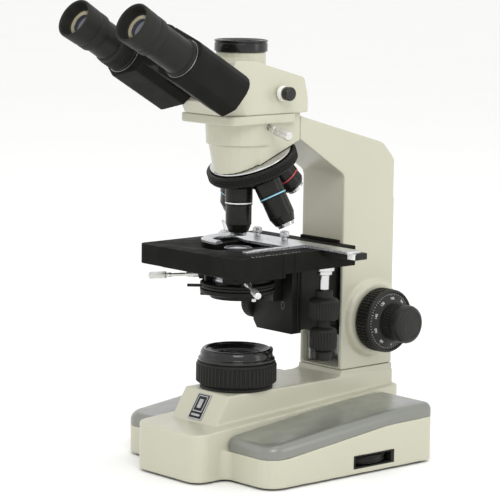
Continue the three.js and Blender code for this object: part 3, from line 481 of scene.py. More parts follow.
def base_pad(side, name):
    """Grey pad with a rolled outer edge, between the casting's middle and its wing's edge."""
    node = "base_pad_" + name
    inner = min(abs(low(node, 0)), abs(high(node, 0)))
    outer = max(abs(low(node, 0)), abs(high(node, 0)))
    front, rear = low(node, 1) - AXIS_Y, high(node, 1) - AXIS_Y
    taper = 5.1  # the wings are this much narrower at the front
    bm = bmesh.new()
    rings = []

    def ring(inset, drop, squeeze=1.0, floor=False):
        corners = [
            (inner, front + inset, 5),
            (outer - taper - inset, front + inset, max(WING_CORNERS[0] - inset, 1)),
            (outer - inset, rear - inset, max(WING_CORNERS[1] - inset, 1)),
            (inner, rear - inset, 2),
        ]
        centre = (inner + outer) / 2
        verts = []
        for p in rounded_path(corners, 8, 14):
            z = level_along(PAD_LINE, p.y) + 0.3 if floor else level_along(PAD_TOP, p.y) - drop
            x = centre + (p.x - centre) * squeeze
            verts.append(bm.verts.new((side * x * MM, (p.y + AXIS_Y) * MM, z * MM)))
        rings.append(verts)

    ring(0, 0, 0.0, True)
    ring(0, 0, 1.0, True)
    for k in range(7):
        angle = math.pi / 2 * k / 6
        ring(PAD_ROLL * (1 - math.cos(angle)), PAD_ROLL * (1 - math.sin(angle)))
    for squeeze in (0.6, 0.25, 0.0):
        ring(PAD_ROLL, 0, squeeze)
    for one, two in zip(rings, rings[1:]):
        for k in range(len(one)):
            n = (k + 1) % len(one)
            bm.faces.new((one[k], one[n], two[n], two[k]))
    bmesh.ops.remove_doubles(bm, verts=bm.verts, dist=1e-6)
    bmesh.ops.dissolve_degenerate(bm, edges=bm.edges, dist=1e-6)
    settle(mesh_object(node + "_shell", bm, PAD), node)


def build_base():
    cast("base_casting", PAINT, 0.9, 7)
    for name, side in SIDES.items():
        base_pad(side, name)
    bevelled("bottom_plate", PLASTIC, 0.4)
    for end in ("front", "rear"):
        for name in SIDES:
            node = f"foot_{end}_{name}"
            top = high(node, 2)
            foot = turned(node + "_rubber",
                          [(0, 0.6), (3, 0.6), (3.6, 0), (8, 0), (9, 0.8), (8.8, top), (0, top)],
                          RUBBER, over(node), 48)
            settle(foot, node)
    badge()


def badge():
    """A plain framed plate on the pedestal's sloped face."""
    node = "badge_plate"
    bevelled(node, GREY, 0.3, name="badge_frame_outer")
    corner_low, corner_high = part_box(node)
    slope = math.degrees(math.atan2(corner_high.z - corner_low.z, corner_high.y - corner_low.y))
    place = Matrix.Translation((corner_low + corner_high) / 2) @ spin(slope, "X")
    for name, half, tall, shift, top, material in [
            ("badge_panel", 7.6, 11.6, 0, 0.7, PLASTIC), ("badge_frame_inner", 6.2, 8.0, 2.6, 0.85, GREY),
            ("badge_field", 5.2, 7.0, 2.6, 1.0, PLASTIC), ("badge_tablet", 2.6, 4.4, 2.6, 1.15, GREY),
            ("badge_bar", 5.6, 1.0, -8.6, 0.85, GREY)]:
        corners = [(-half, shift - tall, 0.6), (half, shift - tall, 0.6), (half, shift + tall, 0.6),
                   (-half, shift + tall, 0.6)]
        panel = plate(name, corners, (0.1, top), material, 0.1, place)
        settle(panel, body="stand")


# ---------------------------------------------------------------- lamp
def build_lamp():
    axis = at(0, 0, 0)
    flange, top = low("lamp_mount", 2), high("lamp_mount", 2)
    mount = turned("lamp_flange", [(18, flange), (33.4, flange), (33.4, flange + 2.4), (32.2, flange + 3.2),
                                   (32.2, flange + 3.9), (27, flange + 4.1), (27, top), (18, top)],
                   PLASTIC, axis, 96)
    settle(mount, "lamp_mount")
    z0, z1 = low("field_ring", 2), high("field_ring", 2)
    band = turned("field_ring_grip", [(27.4, z0), (34.8, z0), (35.9, z0 + 0.7), (37, z0 + 1.6, 1.3),
                                      (37, z1 - 3.0, 1.3), (36.0, z1 - 2.2), (36.2, z1 - 0.8), (35.2, z1),
                                      (27.4, z1)], RUBBER, axis, ribs=58)
    settle(band, "field_ring")
    base, rim = low("lamp_bezel", 2), high("lamp_bezel", 2)
    bezel = turned("lamp_bezel_gloss", [
        (20, base), (35.0, base), (35.4, base + 2.6), (33.4, base + 4.4), (33.0, base + 8.4),
        (31.2, rim - 0.5), (29.6, rim), (28.4, rim - 0.6), (27.6, rim - 2.4), (24.6, rim - 4.6),
        (23.6, base + 6.4), (20, base + 6.0)],
        GLOSS, axis, 120, soft=0.9)
    settle(bezel, "lamp_bezel")
    lug = block("lamp_bezel_lug", (-6.5, 6.5), (30.4, 33.0), (base + 8.6, rim), GLOSS, 0.6,
                axis @ spin(-38, "Z"))
    settle(lug, body="stand")
    bottom, crown = low("collector_lens", 2), high("collector_lens", 2)
    profile = [(0, bottom), (19.7, bottom)] + dome(19.7, crown - 3.4, 3.4, 0, 20) + [(0, crown)]
    lens = turned("collector_lens_dome", profile, LENS, axis, 96, soft=0)
    settle(lens, "collector_lens")
    frame["nodes"]["lamp_unit"].material_slots[0].material = FROST
    frame["nodes"]["power_board"].material_slots[0].material = BOARD


DIMMER_SLOT = (104.67, 76)  # middle of the dimmer's slot, on the wing's side
DIMMER_TURN = -1.44  # degrees that the side tapers by there


def dimmer_slot_shade():
    """Dark strips round the slot that the dimmer wheel shows through, on the wing's tapered side: painted shade
    standing in for the shadow at the slot's square edges.
    """
    place = at(*DIMMER_SLOT, 0) @ spin(DIMMER_TURN, "Z")
    for name, y, z in [("low", (-25.4, 25.4), (6.9, 8.2)), ("high", (-25.4, 25.4), (17.8, 19.1)),
                       ("front", (-25.4, -23.6), (6.9, 19.1)), ("rear", (21.4, 25.4), (6.9, 19.1))]:
        # each black strip is painted shade along one edge of the slot
        rim = block("dimmer_shade_strip_" + name, (-9, 0.2), y, z, PLASTIC, 0.1, place)
        settle(rim, body="stand")


def build_controls():
    dimmer_slot_shade()
    z0, z1 = low("dimmer_wheel", 2), high("dimmer_wheel", 2)
    mid = (z0 + z1) / 2
    wheel = turned("dimmer_wheel_ribbed", [
        (3.2, z0), (28.4, z0), (29.6, z0 + 0.8, 0.5), (30, mid - 1.2, 0.5), (29.2, mid - 0.8),
        (29.2, mid + 0.8), (30, mid + 1.2, 0.5), (29.6, z1 - 0.8, 0.5), (28.4, z1), (3.2, z1)],
        PLASTIC, over("dimmer_wheel"), ribs=110)
    settle(wheel, "dimmer_wheel")
    bevelled("power_inlet", PLASTIC, 0.4)
    bevelled("power_switch", PLASTIC, 0.5)


# ---------------------------------------------------------------- arm
LOCK_TILT = 13  # degrees that the head's lock screw hangs by


def build_arm():
    cast("arm_casting", PAINT, 1.0, 9)
    cast("head_support", PAINT, 0.8, 5)
    bevelled("guide_rail", STEEL, 0.4)
    place = joint_place("head_lock") @ spin(90 + LOCK_TILT, "Y")
    screw = turned("head_lock_screw_knurled", [
        (0, -15), (2.2, -15), (2.2, -1.4), (3.4, -1.2), (3.6, 2.4), (3.0, 2.8), (3.0, 3.6), (4.0, 4.0),
        (4.4, 4.8, 0.3), (4.4, 18.6, 0.3), (4.0, 19.2), (4.3, 19.8), (4.2, 21.2), (3.2, 22), (0, 22)],
        PLATED, place, ribs=22, soft=0.2)
    settle(screw, "head_lock_screw")


# ---------------------------------------------------------------- focusing knobs
SCALE_MARKS = 60
SCALE_NUMBERS = 10
CONE = ((26.4, 51.8), (19.2, 55.6))  # radius and reach of the numbered cone


def focus_scale(place, name):
    """White ticks and numbers on the coarse knob's cone."""
    (r0, z0), (r1, z1) = CONE
    tilt = math.degrees(math.atan2(z1 - z0, r0 - r1))

    def on_cone(turn, reach):
        """A place on the cone at reach from its axis, with X down the slope."""
        rise = z0 + (r0 - reach) * math.tan(math.radians(tilt))
        return place @ spin(turn, "Z") @ Matrix.Translation((reach * MM, 0, rise * MM)) @ spin(tilt, "Y")

    bm = bmesh.new()
    for k in range(SCALE_MARKS):
        long = 1.9 if k % 6 == 0 else 1.1
        matrix = on_cone(360 * k / SCALE_MARKS, r0)
        corners = [(-0.3 - long, -0.11), (-0.3, -0.11), (-0.3, 0.11), (-0.3 - long, 0.11)]
        faces = [[bm.verts.new(matrix @ Vector((u * MM, v * MM, h * MM))) for u, v in corners]
                 for h in (-0.1, 0.07)]
        for f in faces:
            bm.faces.new(f)
        for a in range(4):
            bm.faces.new((faces[0][a], faces[0][(a + 1) % 4], faces[1][(a + 1) % 4], faces[1][a]))
    settle(mesh_object(f"focus_ticks_{name}", bm, MARK), body="coarse")
    numbers = []
    for k in range(SCALE_NUMBERS):
        curve = bpy.data.curves.new(f"focus_number_{name}_{k}", "FONT")
        curve.body = str(20 * k)
        curve.size = 3.4 * MM
        curve.extrude = 0.06 * MM
        curve.align_x = "CENTER"
        text = bpy.data.objects.new(curve.name, curve)
        bpy.context.scene.collection.objects.link(text)
        text.matrix_world = on_cone(360 * k / SCALE_NUMBERS, (r0 + r1) / 2 - 1.9) @ spin(-90, "Z")
        numbers.append(text)
    bpy.context.view_layer.update()
    graph = bpy.context.evaluated_depsgraph_get()
    joined = bmesh.new()
    for text in numbers:
        mesh = bpy.data.meshes.new_from_object(text.evaluated_get(graph))
        mesh.transform(text.matrix_world)
        joined.from_mesh(mesh)
        bpy.data.objects.remove(text)
        bpy.data.meshes.remove(mesh)
    settle(mesh_object(f"focus_numbers_{name}", joined, MARK), body="coarse")


def build_focus():
    for name, side in SIDES.items():
        place = joint_place("coarse_focus") @ (ALONG_X if side > 0 else ALONG_LEFT)
        coarse = turned(f"coarse_knob_{name}_ribbed", [
            (4.1, 34.5), (27.5, 34.5), (29.3, 35.6), (29.3, 36.8), (30, 37.4, 1.5), (30, 42.0, 1.5),
            (28.7, 42.3), (28.7, 43.1), (30, 43.4, 1.5), (30, 48.0, 1.5), (28.7, 48.5), (29.8, 49.4),
            (29.8, 51.4), (29.0, 52.4), (27.4, 52.6), (27.2, 51.6), CONE[0],
            CONE[1], (18.9, 56.0), (4.1, 56.0)], KNOB, place, ribs=58, soft=0.25)
        settle(coarse, f"coarse_knob_{name}")
        focus_scale(place, name)
        fine = turned(f"fine_knob_{name}_ribbed", [
            (0, 57), (15.6, 57), (16.4, 57.6), (17, 58.4, 1.1), (17, 62.6, 1.1), (16.0, 62.9), (16.0, 63.5),
            (17, 63.8, 1.1), (17, 67.8, 1.1), (16.0, 68.3), (17.0, 69.2), (18.0, 70.8), (18.0, 74.4),
            (17.0, 77.2), (14.2, 79.3), (12.4, 79.7), (11.9, 79.3), (11.3, 79.3), (10.8, 79.75), (0, 80.0)],
            KNOB, place, ribs=38, soft=0.3)
        settle(fine, f"fine_knob_{name}")
    frame["nodes"]["coarse_shaft"].material_slots[0].material = STEEL
    frame["nodes"]["fine_spindle"].material_slots[0].material = STEEL


# ---------------------------------------------------------------- stage
TICKS, TICK_START, TICK_STEP = 15, -40, 4  # white ticks along the stage's right edge


def build_stage():
    bevelled("stage_bracket", BLACK, 1.3)
    bevelled("stage_lower_plate", BLACK, 0.6)
    bevelled("stage_plate", STAGE, 0.9)
    top = high("stage_plate", 2)
    half = high("stage_plate", 0)
    place = at(0, 0, 0)
    for name, x, y, z, width in [
            ("stage_skirt_front", (half - 7, half), (-59, -4), (top - 22, top - 17), 1.2),
            ("stage_rib_front", (half - 3, half + 0.9), (-5.6, -2.4), (top - 22, top - 0.8), 1.2),
            ("stage_rib_rear", (half - 3, half + 0.9), (8.4, 11.2), (top - 18, top - 0.8), 1.2),
            ("stage_rear_lip", (-5, 45), (82.5, 86), (top - 1, top + 3), 0.7)]:
        settle(block(name, x, y, z, STAGE, width, place), body="stage_y")
    for name, y in (("bracket_edge_front", 50.5), ("bracket_edge_rear", 54.0)):
        settle(block(name, (25.2, 27.0), (y, y + 2.2), (123, low("stage_lower_plate", 2) - 0.5),
                     BLACK, 0.7, place), body="stage_lift")
    for k in range(TICKS):
        y = TICK_START + TICK_STEP * k
        reach = 5.0 if k % 5 == 0 else 3.2
        tick = block(f"stage_tick_{k}", (half - reach, half - 1.3), (y, y + 0.5), (top - 0.1, top + 0.06),
                     MARK, 0.02, place)
        settle(tick, body="stage_y")
    spot = at(14, low("stage_bracket", 1) - AXIS_Y, 146) @ spin(90, "X") @ Matrix.Diagonal((1, 1.6, 1, 1))
    screw = turned("bracket_adjuster",
                   [(0, -0.4), (2.6, -0.4), (2.6, 0.16), (1.6, 0.2), (1.4, -0.1), (0, -0.1)],
                   GLOSS, spot, 32, soft=0.1)
    settle(screw, body="stage_lift")


def build_drive():
    place = over("stage_y_knob")
    top = high("drive_post", 2)
    post = turned("drive_post_turned", [
        (0, 97.5), (3.6, 97.5), (4.4, 98.4), (4.4, 176.8), (7, 177.1), (7, 180.4), (9, 180.7), (9, top),
        (0, top)],
        CHROME, place, 64, marks=[(PLASTIC, 97, 108)])
    settle(post, "drive_post")
    sleeve = turned("drive_post_sleeve",
                    [(4.45, 97.7), (7.4, 97.7), (8, 98.4), (8, 105.4), (7.4, 106.2), (4.45, 106.2)],
                    RUBBER, place, 64)
    settle(sleeve, body="stage_x_knob")

    def grip(node, z0, z1, r, neck, neck_top, ribs):
        knob = turned(node + "_ribbed", [
            (4.7, z0), (r - 2.2, z0), (r - 0.6, z0 + 0.9), (r, z0 + 2.0, 0.8), (r, z1 - 4.2, 0.8),
            (r - 0.5, z1 - 3.0), (r - 1.8, z1 - 1.4), (neck + 0.6, z1), (neck, z1 + 0.8),
            (neck, neck_top - 0.5), (neck - 0.6, neck_top), (4.7, neck_top)],
            RUBBER, place, ribs=ribs, soft=0.5)
        settle(knob, node)

    grip("stage_y_knob", 135.4, 156.1, 14.2, 8.2, 162.6, 30)
    grip("stage_x_knob", 107.7, 128.4, 12.8, 6.0, 135.0, 28)


def build_carriage():
    floor = low("carriage_screw_left", 2) - 2.5
    place = at(0, 0, 0)
    flat = plate("carriage_plate", [
        (-58, 36, 2), (-10, 17, 1), (42.6, 17, 0.4), (42.6, -34, 0.8), (47.6, -34, 0.8), (47.6, 38, 1),
        (104, 38, 2), (104, 55, 2), (-58, 55, 2)], (floor + 0.2, floor + 2.4), STEEL, 0.35, place)
    settle(flat, "slide_carriage")
    rack = block("carriage_rack", (-60, 106), (44, 60), (198.4, floor + 0.15), PLASTIC, 0.6, place)
    settle(rack, body="carriage")
    end = block("carriage_end", (97, 106), (43.75, 46), (199, floor + 0.1), PALE, 0.15, place)
    settle(end, body="carriage")
    for name in SIDES:
        node = "carriage_screw_" + name
        z = low(node, 2)
        screw = turned(node + "_knurled", [
            (0, z), (3, z), (3, z + 2.8), (3.6, z + 3.1), (4.4, z + 3.6, 0.4), (4.4, z + 7.4, 0.4),
            (4.0, z + 8.1), (3.0, z + 8.5), (2.6, z + 8.1), (0, z + 8.1)],
            CHROME, over(node), ribs=20, soft=0.2)
        settle(screw, node)
    clip_finger(floor + 2.6)


CLIP_PIVOT = (-48, 28)
CLIP_STEPS = 40


def clip_finger(base):
    """The sprung arm: a broad curved blade from its pivot to the slide's corner, with a little lever."""
    bm = bmesh.new()
    rows = []
    for k in range(CLIP_STEPS + 1):
        t = k / CLIP_STEPS
        outer = math.radians(150 + 132 * t)
        inner = math.radians(152 + 126 * t)
        a = Vector((-8 + 33 * math.cos(outer), 6 + 33 * math.sin(outer)))
        b = Vector((-6 + 25 * math.cos(inner), 8 + 25 * math.sin(inner)))
        thick = 3.2
        section = [(a, 0), (a, thick * 0.6), (a.lerp(b, 0.22), thick), (b.lerp(a, 0.3), thick),
                   (b, thick * 0.5), (b, 0)]
        rows.append([bm.verts.new((p.x * MM, (p.y + AXIS_Y) * MM, (base + h) * MM)) for p, h in section])
    for one, two in zip(rows, rows[1:]):
        for j in range(6):
            n = (j + 1) % 6
            bm.faces.new((one[j], one[n], two[n], two[j]))
    bm.faces.new(rows[0])
    bm.faces.new(rows[-1])
    blade = mesh_object("clip_finger_blade", bm, STEEL)
    settle(blade, "clip_finger")
    hub = turned("clip_finger_hub",
                 [(0, base), (6, base), (6, base + 2.4), (5, base + 3.2), (4.6, base + 4), (0, base + 4.2)],
                 STEEL, at(*CLIP_PIVOT, 0), 48)
    settle(hub, body="clip_finger")
    arm = plate("clip_finger_neck",
                [(-54, 27, 2), (-46, 33, 3), (-33.5, 25, 2), (-29.5, 17, 1.5), (-38, 13.5, 2), (-49, 19, 2)],
                (base, base + 2.4), STEEL, 0.3, at(0, 0, 0))
    settle(arm, body="clip_finger")
    lever = turned("clip_finger_lever",
                   [(0, 2), (1.2, 2), (1.2, 14), (1.5, 14.4), (1.5, 17), (0.9, 17.6), (0, 17.6)],
                   CHROME, at(*CLIP_PIVOT, base + 2) @ spin(150, "Z") @ spin(60, "Y"), 32, soft=0.2)
    settle(lever, body="clip_finger")


# ---------------------------------------------------------------- condenser
SCREW_TURN, SCREW_DROP = 30, 5  # degrees: centring screws forward of X, and down


def build_condenser():
    bevelled("condenser_carrier", BLACK, 0.6)
    axis = at(0, 0, 0)
    z0, z1 = low("iris_housing", 2), high("iris_housing", 2)
    r = high("iris_housing", 0)
    housing = turned("iris_housing_turned", [
        (10, z0), (29, z0), (31, z0 + 0.3), (r - 0.7, z0 + 1.2), (r, z0 + 2.2), (r, z0 + 5.0), (30, z0 + 5.2),
        (30, z0 + 8.4), (r - 0.3, z0 + 8.6), (r, z0 + 9.0), (r, z1 - 1.0), (r - 1.2, z1), (10, z1)],
        BLACK, axis, 96, soft=0.25)
    settle(housing, "iris_housing")
    base, top = low("condenser_barrel", 2), high("condenser_barrel", 2)
    barrel = turned("condenser_barrel_turned", [
        (0, base), (24, base), (24, base + 3.0), (23.4, base + 3.4), (23.4, base + 4.2), (24, base + 4.6),
        (24, 181.4), (22, 183), (19, 183.2), (19, 188.8), (13.2, 192), (13.2, top - 0.5), (12.4, top),
        (10.4, top), (10.2, top - 0.8)] + dome(10.2, top - 1.4, 1.3, 1, 16) + [(0, top - 0.1)],
        STEEL, axis, 96, soft=0.3, marks=[(PLASTIC, 189.2, top + 1), (LENS, top - 1.39, top)])
    settle(barrel, "condenser_barrel")
    bevelled("iris_lever", PLASTIC, 0.4)
    bevelled("filter_holder", BLACK, 0.5)
    for name, side in SIDES.items():
        node = "centring_screw_" + name
        angle = -SCREW_TURN if side > 0 else 180 + SCREW_TURN
        place = joint_place("centring_" + name) @ spin(angle, "Z") @ spin(90 + SCREW_DROP, "Y")
        screw = turned(node + "_turned", [
            (0, 1), (2.9, 1), (2.9, 7), (2.3, 7.6), (2.3, 13), (1.6, 14), (1.6, 28), (2.2, 29), (2.2, 32),
            (1.8, 32.4), (1.8, 33), (3.3, 33.6, 0.3), (3.3, 48.6, 0.3), (2.9, 49.6), (2.2, 50), (0, 50)],
            PLATED, place, ribs=16, soft=0.2)
        settle(screw, node)
    for name, x, y, drop in (("a", -11, -27, 0.4), ("b", 31, -8, 3.0)):
        spot = turned("iris_screw_" + name,
                      [(0, z0 - drop), (1.2, z0 - drop), (2.2, z0 - drop + 0.2), (2.2, z0 - 0.1),
                       (1.4, z0), (0, z0)], CHROME, at(x, y, 0), 24, soft=0.05)
        settle(spot, body="condenser")
    place = joint_place("condenser_knob_turn") @ ALONG_LEFT
    knob = turned("condenser_knob_ribbed", [
        (0, 14.5), (3, 14.5), (3, 27), (12.6, 27), (13.6, 27.6), (14.3, 28.4, 0.9), (14.3, 37.0, 0.9),
        (13.4, 38.4), (12, 39.4), (0, 39.5)], RUBBER, place, ribs=30, soft=0.3)
    settle(knob, "condenser_knob")


# ---------------------------------------------------------------- nosepiece
def turret_place():
    return joint_place("nosepiece_turn") @ spin(LEAN, "X")


def seat_place(index):
    """The frame of one seat: origin on the shoulder's level, -Z along the objective."""
    return (turret_place() @ spin(360 * index / SEATS, "Z")
            @ Matrix.Translation((0, -SEAT_R * MM, -SEAT_DOWN * MM)) @ spin(-LEAN, "X"))


def objective(node, seat, length, tip, band, band_at):
    """Black barrel with its coloured band, a sleeve below that, and a stepped bright tip."""
    r = 12.6
    mark_low, mark_high = -band_at - 0.55, -band_at + 0.55
    taper = -length + (6.5 if length < 30 else 10.5)
    profile = [
        (0, 4), (8.2, 4), (8.2, -0.2), (r - 0.3, -0.3), (r, -0.9), (r, mark_high + 1.6),
        (r - 0.25, mark_high + 1.5), (r - 0.25, mark_high + 1.1), (r, mark_high + 1.0), (r, mark_high),
        (r - 0.1, mark_high - 0.01), (r - 0.1, mark_low + 0.01), (r, mark_low), (r, mark_low - 1.2),
        (r - 0.7, mark_low - 1.5), (r - 0.7, taper), (r - 1.1, taper - 0.5), (tip + 1.5, -length + 3.2),
        (tip + 0.4, -length + 2.9), (tip + 0.4, -length + 2.0), (tip, -length + 1.7), (tip, -length + 0.3),
        (tip - 0.4, -length), (tip - 2.2, -length), (tip - 3.4, -length + 0.6), (0, -length + 0.7)]
    piece = turned(node + "_barrel", profile, OBJECTIVE, seat_place(seat), 96, soft=0.2)
    to_local = seat_place(seat).inverted()
    for extra in (band, CHROME, LENS):
        piece.data.materials.append(extra)
    for face in piece.data.polygons:
        local = to_local @ face.center / MM
        if mark_low < local.z < mark_high:
            face.material_index = 1
        elif local.z < -length + 3.1:
            face.material_index = 3 if math.hypot(local.x, local.y) < tip - 3.4 else 2
    settle(piece, node)


def build_nosepiece():
    place = turret_place()
    mount = turned("nosepiece_mount_plate", [
        (0, -24), (7, -24), (8, -23), (8, -21), (5, -21), (5, 4.3), (37.4, 4.3), (38, 4.8), (38, 6.4),
        (0, 6.6)],
        CHROME, place, 120, soft=0.3)
    settle(mount, "nosepiece_mount")
    slope = math.tan(math.radians(LEAN))

    def cone(r):
        return -SEAT_DOWN + (r - SEAT_R) * slope

    rows = []
    row_count, ring_low, ring_high, ring_r = 4, -4.6, 3.0, 42.3
    step = (ring_high - ring_low) / row_count
    for k in range(row_count):
        z = ring_low + k * step
        rows += [(ring_r, z + 0.35, 0.9), (ring_r, z + step - 0.35, 0.9), (ring_r - 0.9, z + step - 0.1),
                 (ring_r - 0.9, z + step + 0.1)]
    cup = turned("nosepiece_ring", [
        (5.4, cone(5.4)), (34.5, cone(34.5)), (38.0, -7.4), (39.4, -6.6), (41.2, -5.8), (41.5, -5.0)]
        + rows[:-2] + [(41.4, 3.4), (40.4, 4.0), (38.6, 4.0), (38.2, 2.6), (34, 2.4), (31, cone(31) + 5),
                       (5.4, cone(5.4) + 5)],
        PLASTIC, place, ribs=96, soft=0.3)
    settle(cup, "nosepiece")
    for index in range(SEATS):
        seat = seat_place(index)
        boss = turned(f"seat_boss_{index}", [(8.3, 0.05), (12.4, 0.05), (12.7, 0.5), (12.7, 4), (8.3, 4)],
                      PLASTIC, seat, 64, soft=0.3)
        settle(boss, body="nosepiece")
    cap = turned("seat_cap", [(0, -2.5), (9.8, -2.5), (11, -1.6), (11, 0), (8.2, 0.2), (8.2, 3), (0, 3)],
                 PLASTIC, seat_place(3), 64)
    settle(cap, body="nosepiece")
    objective("objective_100x", 0, 44.2, 7.4, WHITE, 14.2)
    objective("objective_40x", 1, 44.5, 7.6, BLUE, 14.2)
    objective("objective_4x", 2, 25.4, 8.0, RED, 9.8)
    objective("objective_10x", 4, 37.5, 7.0, BLUE, 14.4)


# ---------------------------------------------------------------- head
def hub_place():
    return joint_place("wing_right_fold") @ spin(HUB_TILT, "X")


def tube_place(side):
    return hub_place() @ spin(-side * WING_DROP, "Z") @ Matrix.Translation((side * TUBE_R * MM, 0, 0))


def eyepiece(name, side):
    """Broad eye guard with a rolled rim, a funnel inside it, a gilt ring and the eye lens."""
    node = "eyepiece_" + name
    place = tube_place(side)
    end = 178.5
    guard = turned(node + "_guard", [
        (8, 141), (11.6, 141), (11.6, 150.3), (16.9, 150.3), (17.6, 151.2), (17.7, 158), (17.3, 158.5),
        (17.3, 160.5), (17.8, 161.5), (18.3, end - 2.6), (18.2, end - 0.9), (17.5, end), (16.6, end - 0.2),
        (15.9, end - 1.4), (14.4, 171), (13.9, 168.9), (10.6, 168.2), (8, 168.0)],
        RUBBER, place, 96, soft=0.5)
    settle(guard, node)
    ring = turned(node + "_retainer",
                  [(8.6, 168.0), (12.6, 168.4), (12.6, 169.3), (11.2, 169.5), (9.4, 168.5),
                   (8.6, 168.3)], GILT, place, 72, soft=0.15)
    settle(ring, body=node)
    profile = [(0, 160), (9.3, 160), (9.3, 167.4)] + dome(9.3, 167.4, 1.5, 1, 20) + [(0, 168.9)]
    lens = turned(node + "_lens", profile, LENS, place, 72, soft=0)
    settle(lens, body=node)


SPLITTER = (0, 20, 344)  # start of the rod's line, along X


def build_head():
    cast("head_body", PAINT, 0.8, 5)
    z0, z1 = low("port_ring", 2), high("port_ring", 2)
    ring = turned("port_ring_turned", [
        (19, z0), (23.6, z0), (24.0, z0 + 0.5), (24.0, z1 - 3.0), (23.4, z1 - 2.6), (23.4, z1 - 2.0),
        (24.2, z1 - 1.4), (24.2, z1 - 0.3), (23.8, z1), (22.6, z1), (21.8, z1 - 0.8), (19, z1 - 1.2)],
        GLOSS, at(0, 0, 0), 96, soft=0.25)
    settle(ring, "port_ring")
    hole = turned("port_set_screw",
                  [(0, 23.2), (1.0, 23.2), (1.1, 24.15), (1.7, 24.25), (1.7, 23.0), (0, 23.0)],
                  PLASTIC, at(0, 0, (z0 + z1) / 2) @ spin(-75, "Z") @ ALONG_X, 24, soft=0.05)
    settle(hole, body="head")
    cap = turned("hub_cap",
                 [(0, 108), (12.8, 108), (13.3, 112.2), (13.3, 114.2), (12, 115.2), (5, 115.3), (4.4, 114.8),
                  (0, 114.8)], PLASTIC, hub_place(), 72)
    settle(cap, body="head")
    side_place = at(*SPLITTER) @ ALONG_X
    collar = turned("splitter_collar",
                    [(0, 24), (3, 24), (3, 33.2), (6.4, 33.4), (6.9, 34.2), (6.5, 37.2), (5.6, 37.8),
                     (0, 37.8)], PALE, side_place, 64)
    settle(collar, "splitter_rod")
    knob = turned("splitter_knob",
                  [(0, 37.4), (3.4, 37.4), (3.4, 38.4), (5.8, 38.7), (6.3, 39.4), (6.3, 45.0),
                   (5.6, 46), (4.4, 46.1), (4.0, 45.8), (0, 45.8)], GLOSS, side_place, 64)
    settle(knob, body="splitter")
    slide = block("splitter_slide", (-14, 10), (-12, 27), (336, 349), STEEL, 0.5, at(0, 0, 0))
    settle(slide, body="splitter")
    stem = block("splitter_stem", (9, 25), (18.5, 21.5), (342.5, 345.5), STEEL, 0.4, at(0, 0, 0))
    settle(stem, body="splitter")
    for name, side in SIDES.items():
        node = "prism_housing_" + name
        cast(node, HOUSING, 0.7, 2)
        place = tube_place(side)
        tube = turned(node + "_tube", [
            (11.9, 110), (18.4, 110), (18.4, 112.4), (17.7, 113.0), (17.7, 115.6), (17.0, 116.2),
            (16.0, 116.5), (16.0, 149.4), (15.6, 150.1), (11.9, 150.1)], PLASTIC, place, 96)
        settle(tube, body="wing_" + name)
        # thin grey metal ring round the tube: a painted highlight standing in for the light caught on the
        # housing's front edge
        line = turned(node + "_painted_highlight_ring", [(15, 112.5), (18.15, 112.5), (18.15, 113.1), (15, 113.1)],
                      GREY, place, 96, soft=0.1)
        settle(line, body="wing_" + name)
        eyepiece(name, side)
    dioptre = turned("dioptre_ring_ribbed", [
        (16.1, 116.7), (17.2, 116.7), (17.8, 117.6, 0.7), (17.8, 127.4, 0.7), (17.3, 128.2), (17.6, 129.0),
        (17.2, 131.6), (16.6, 132.5), (16.1, 132.5)], RUBBER, tube_place(-1), ribs=48, soft=0.25)
    settle(dioptre, "dioptre_ring")


# ---------------------------------------------------------------- studio
CAMERA_BACK = 2154.0  # mm from the working objective's tip
CAMERA_TURN, CAMERA_RISE, CAMERA_ROLL = 47.5, 8.3, 0.88  # degrees
CAMERA_SHIFT = (10.64, -13.64)  # mm to the right and up in the picture
CAMERA_LENS = 170.6
TARGET_Z = 213.5


def aim(thing, place, target):
    thing.location = Vector(place)
    thing.rotation_euler = (Vector(target) - Vector(place)).to_track_quat("-Z", "Y").to_euler()


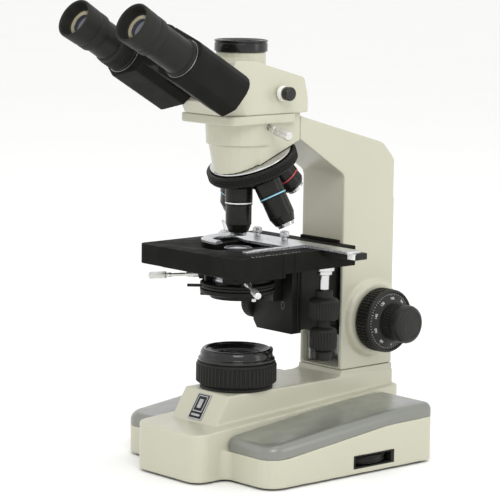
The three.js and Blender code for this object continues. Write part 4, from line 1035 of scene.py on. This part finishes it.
def build_camera():
    a, e, roll = (math.radians(v) for v in (CAMERA_TURN, CAMERA_RISE, CAMERA_ROLL))
    back = Vector((math.sin(a) * math.cos(e), -math.cos(a) * math.cos(e), math.sin(e)))
    right = Vector((math.cos(a), math.sin(a), 0))
    up = back.cross(right)
    right, up = right * math.cos(roll) + up * math.sin(roll), up * math.cos(roll) - right * math.sin(roll)
    camera = bpy.data.objects.new("camera", bpy.data.cameras.new("camera"))
    bpy.context.scene.collection.objects.link(camera)
    camera.data.sensor_width = 36
    camera.data.lens = CAMERA_LENS
    camera.data.clip_start, camera.data.clip_end = 0.05, 50
    offset = right * CAMERA_SHIFT[0] + up * CAMERA_SHIFT[1] + back * CAMERA_BACK
    spot = (offset + Vector((0, AXIS_Y, TARGET_Z))) * MM
    turn = Matrix((right, up, back)).transposed().to_4x4()
    camera.matrix_world = Matrix.Translation(spot) @ turn
    bpy.context.scene.camera = camera


def area_light(name, place, target, size, power, color=(1, 1, 1)):
    data = bpy.data.lights.new(name, "AREA")
    data.shape = "RECTANGLE"
    data.size, data.size_y = size
    data.energy = power
    data.color = color
    light = bpy.data.objects.new(name, data)
    bpy.context.scene.collection.objects.link(light)
    aim(light, place, target)


def build_studio():
    scene = bpy.context.scene
    scene.view_settings.view_transform = "Standard"
    world = bpy.data.worlds.new("studio")
    world.use_nodes = True
    world.node_tree.nodes["Background"].inputs["Color"].default_value = (1.0, 1.0, 1.0, 1)
    world.node_tree.nodes["Background"].inputs["Strength"].default_value = 1.02
    scene.world = world
    bm = bmesh.new()
    bmesh.ops.create_grid(bm, x_segments=2, y_segments=2, size=12)
    look = Look("pale_floor", (0.92, 0.92, 0.91), 0.85)
    look.mottle(3, 0.006)
    floor = mesh_object("floor", bm, look.material)
    centre = (0, 0, 0.2)
    area_light("key", (1.5, -1.1, 1.9), centre, (1.1, 1.1), 20)
    area_light("fill", (-1.5, -1.9, 1.0), centre, (1.4, 1.6), 3)
    area_light("top", (0.1, 0.5, 2.4), centre, (1.8, 1.8), 6)
    area_light("rim", (1.9, 1.1, 0.8), centre, (0.6, 1.4), 5)


build_camera()
build_base()
build_lamp()
build_controls()
build_arm()
build_focus()
build_stage()
build_drive()
build_carriage()
build_condenser()
build_nosepiece()
build_head()
build_studio()
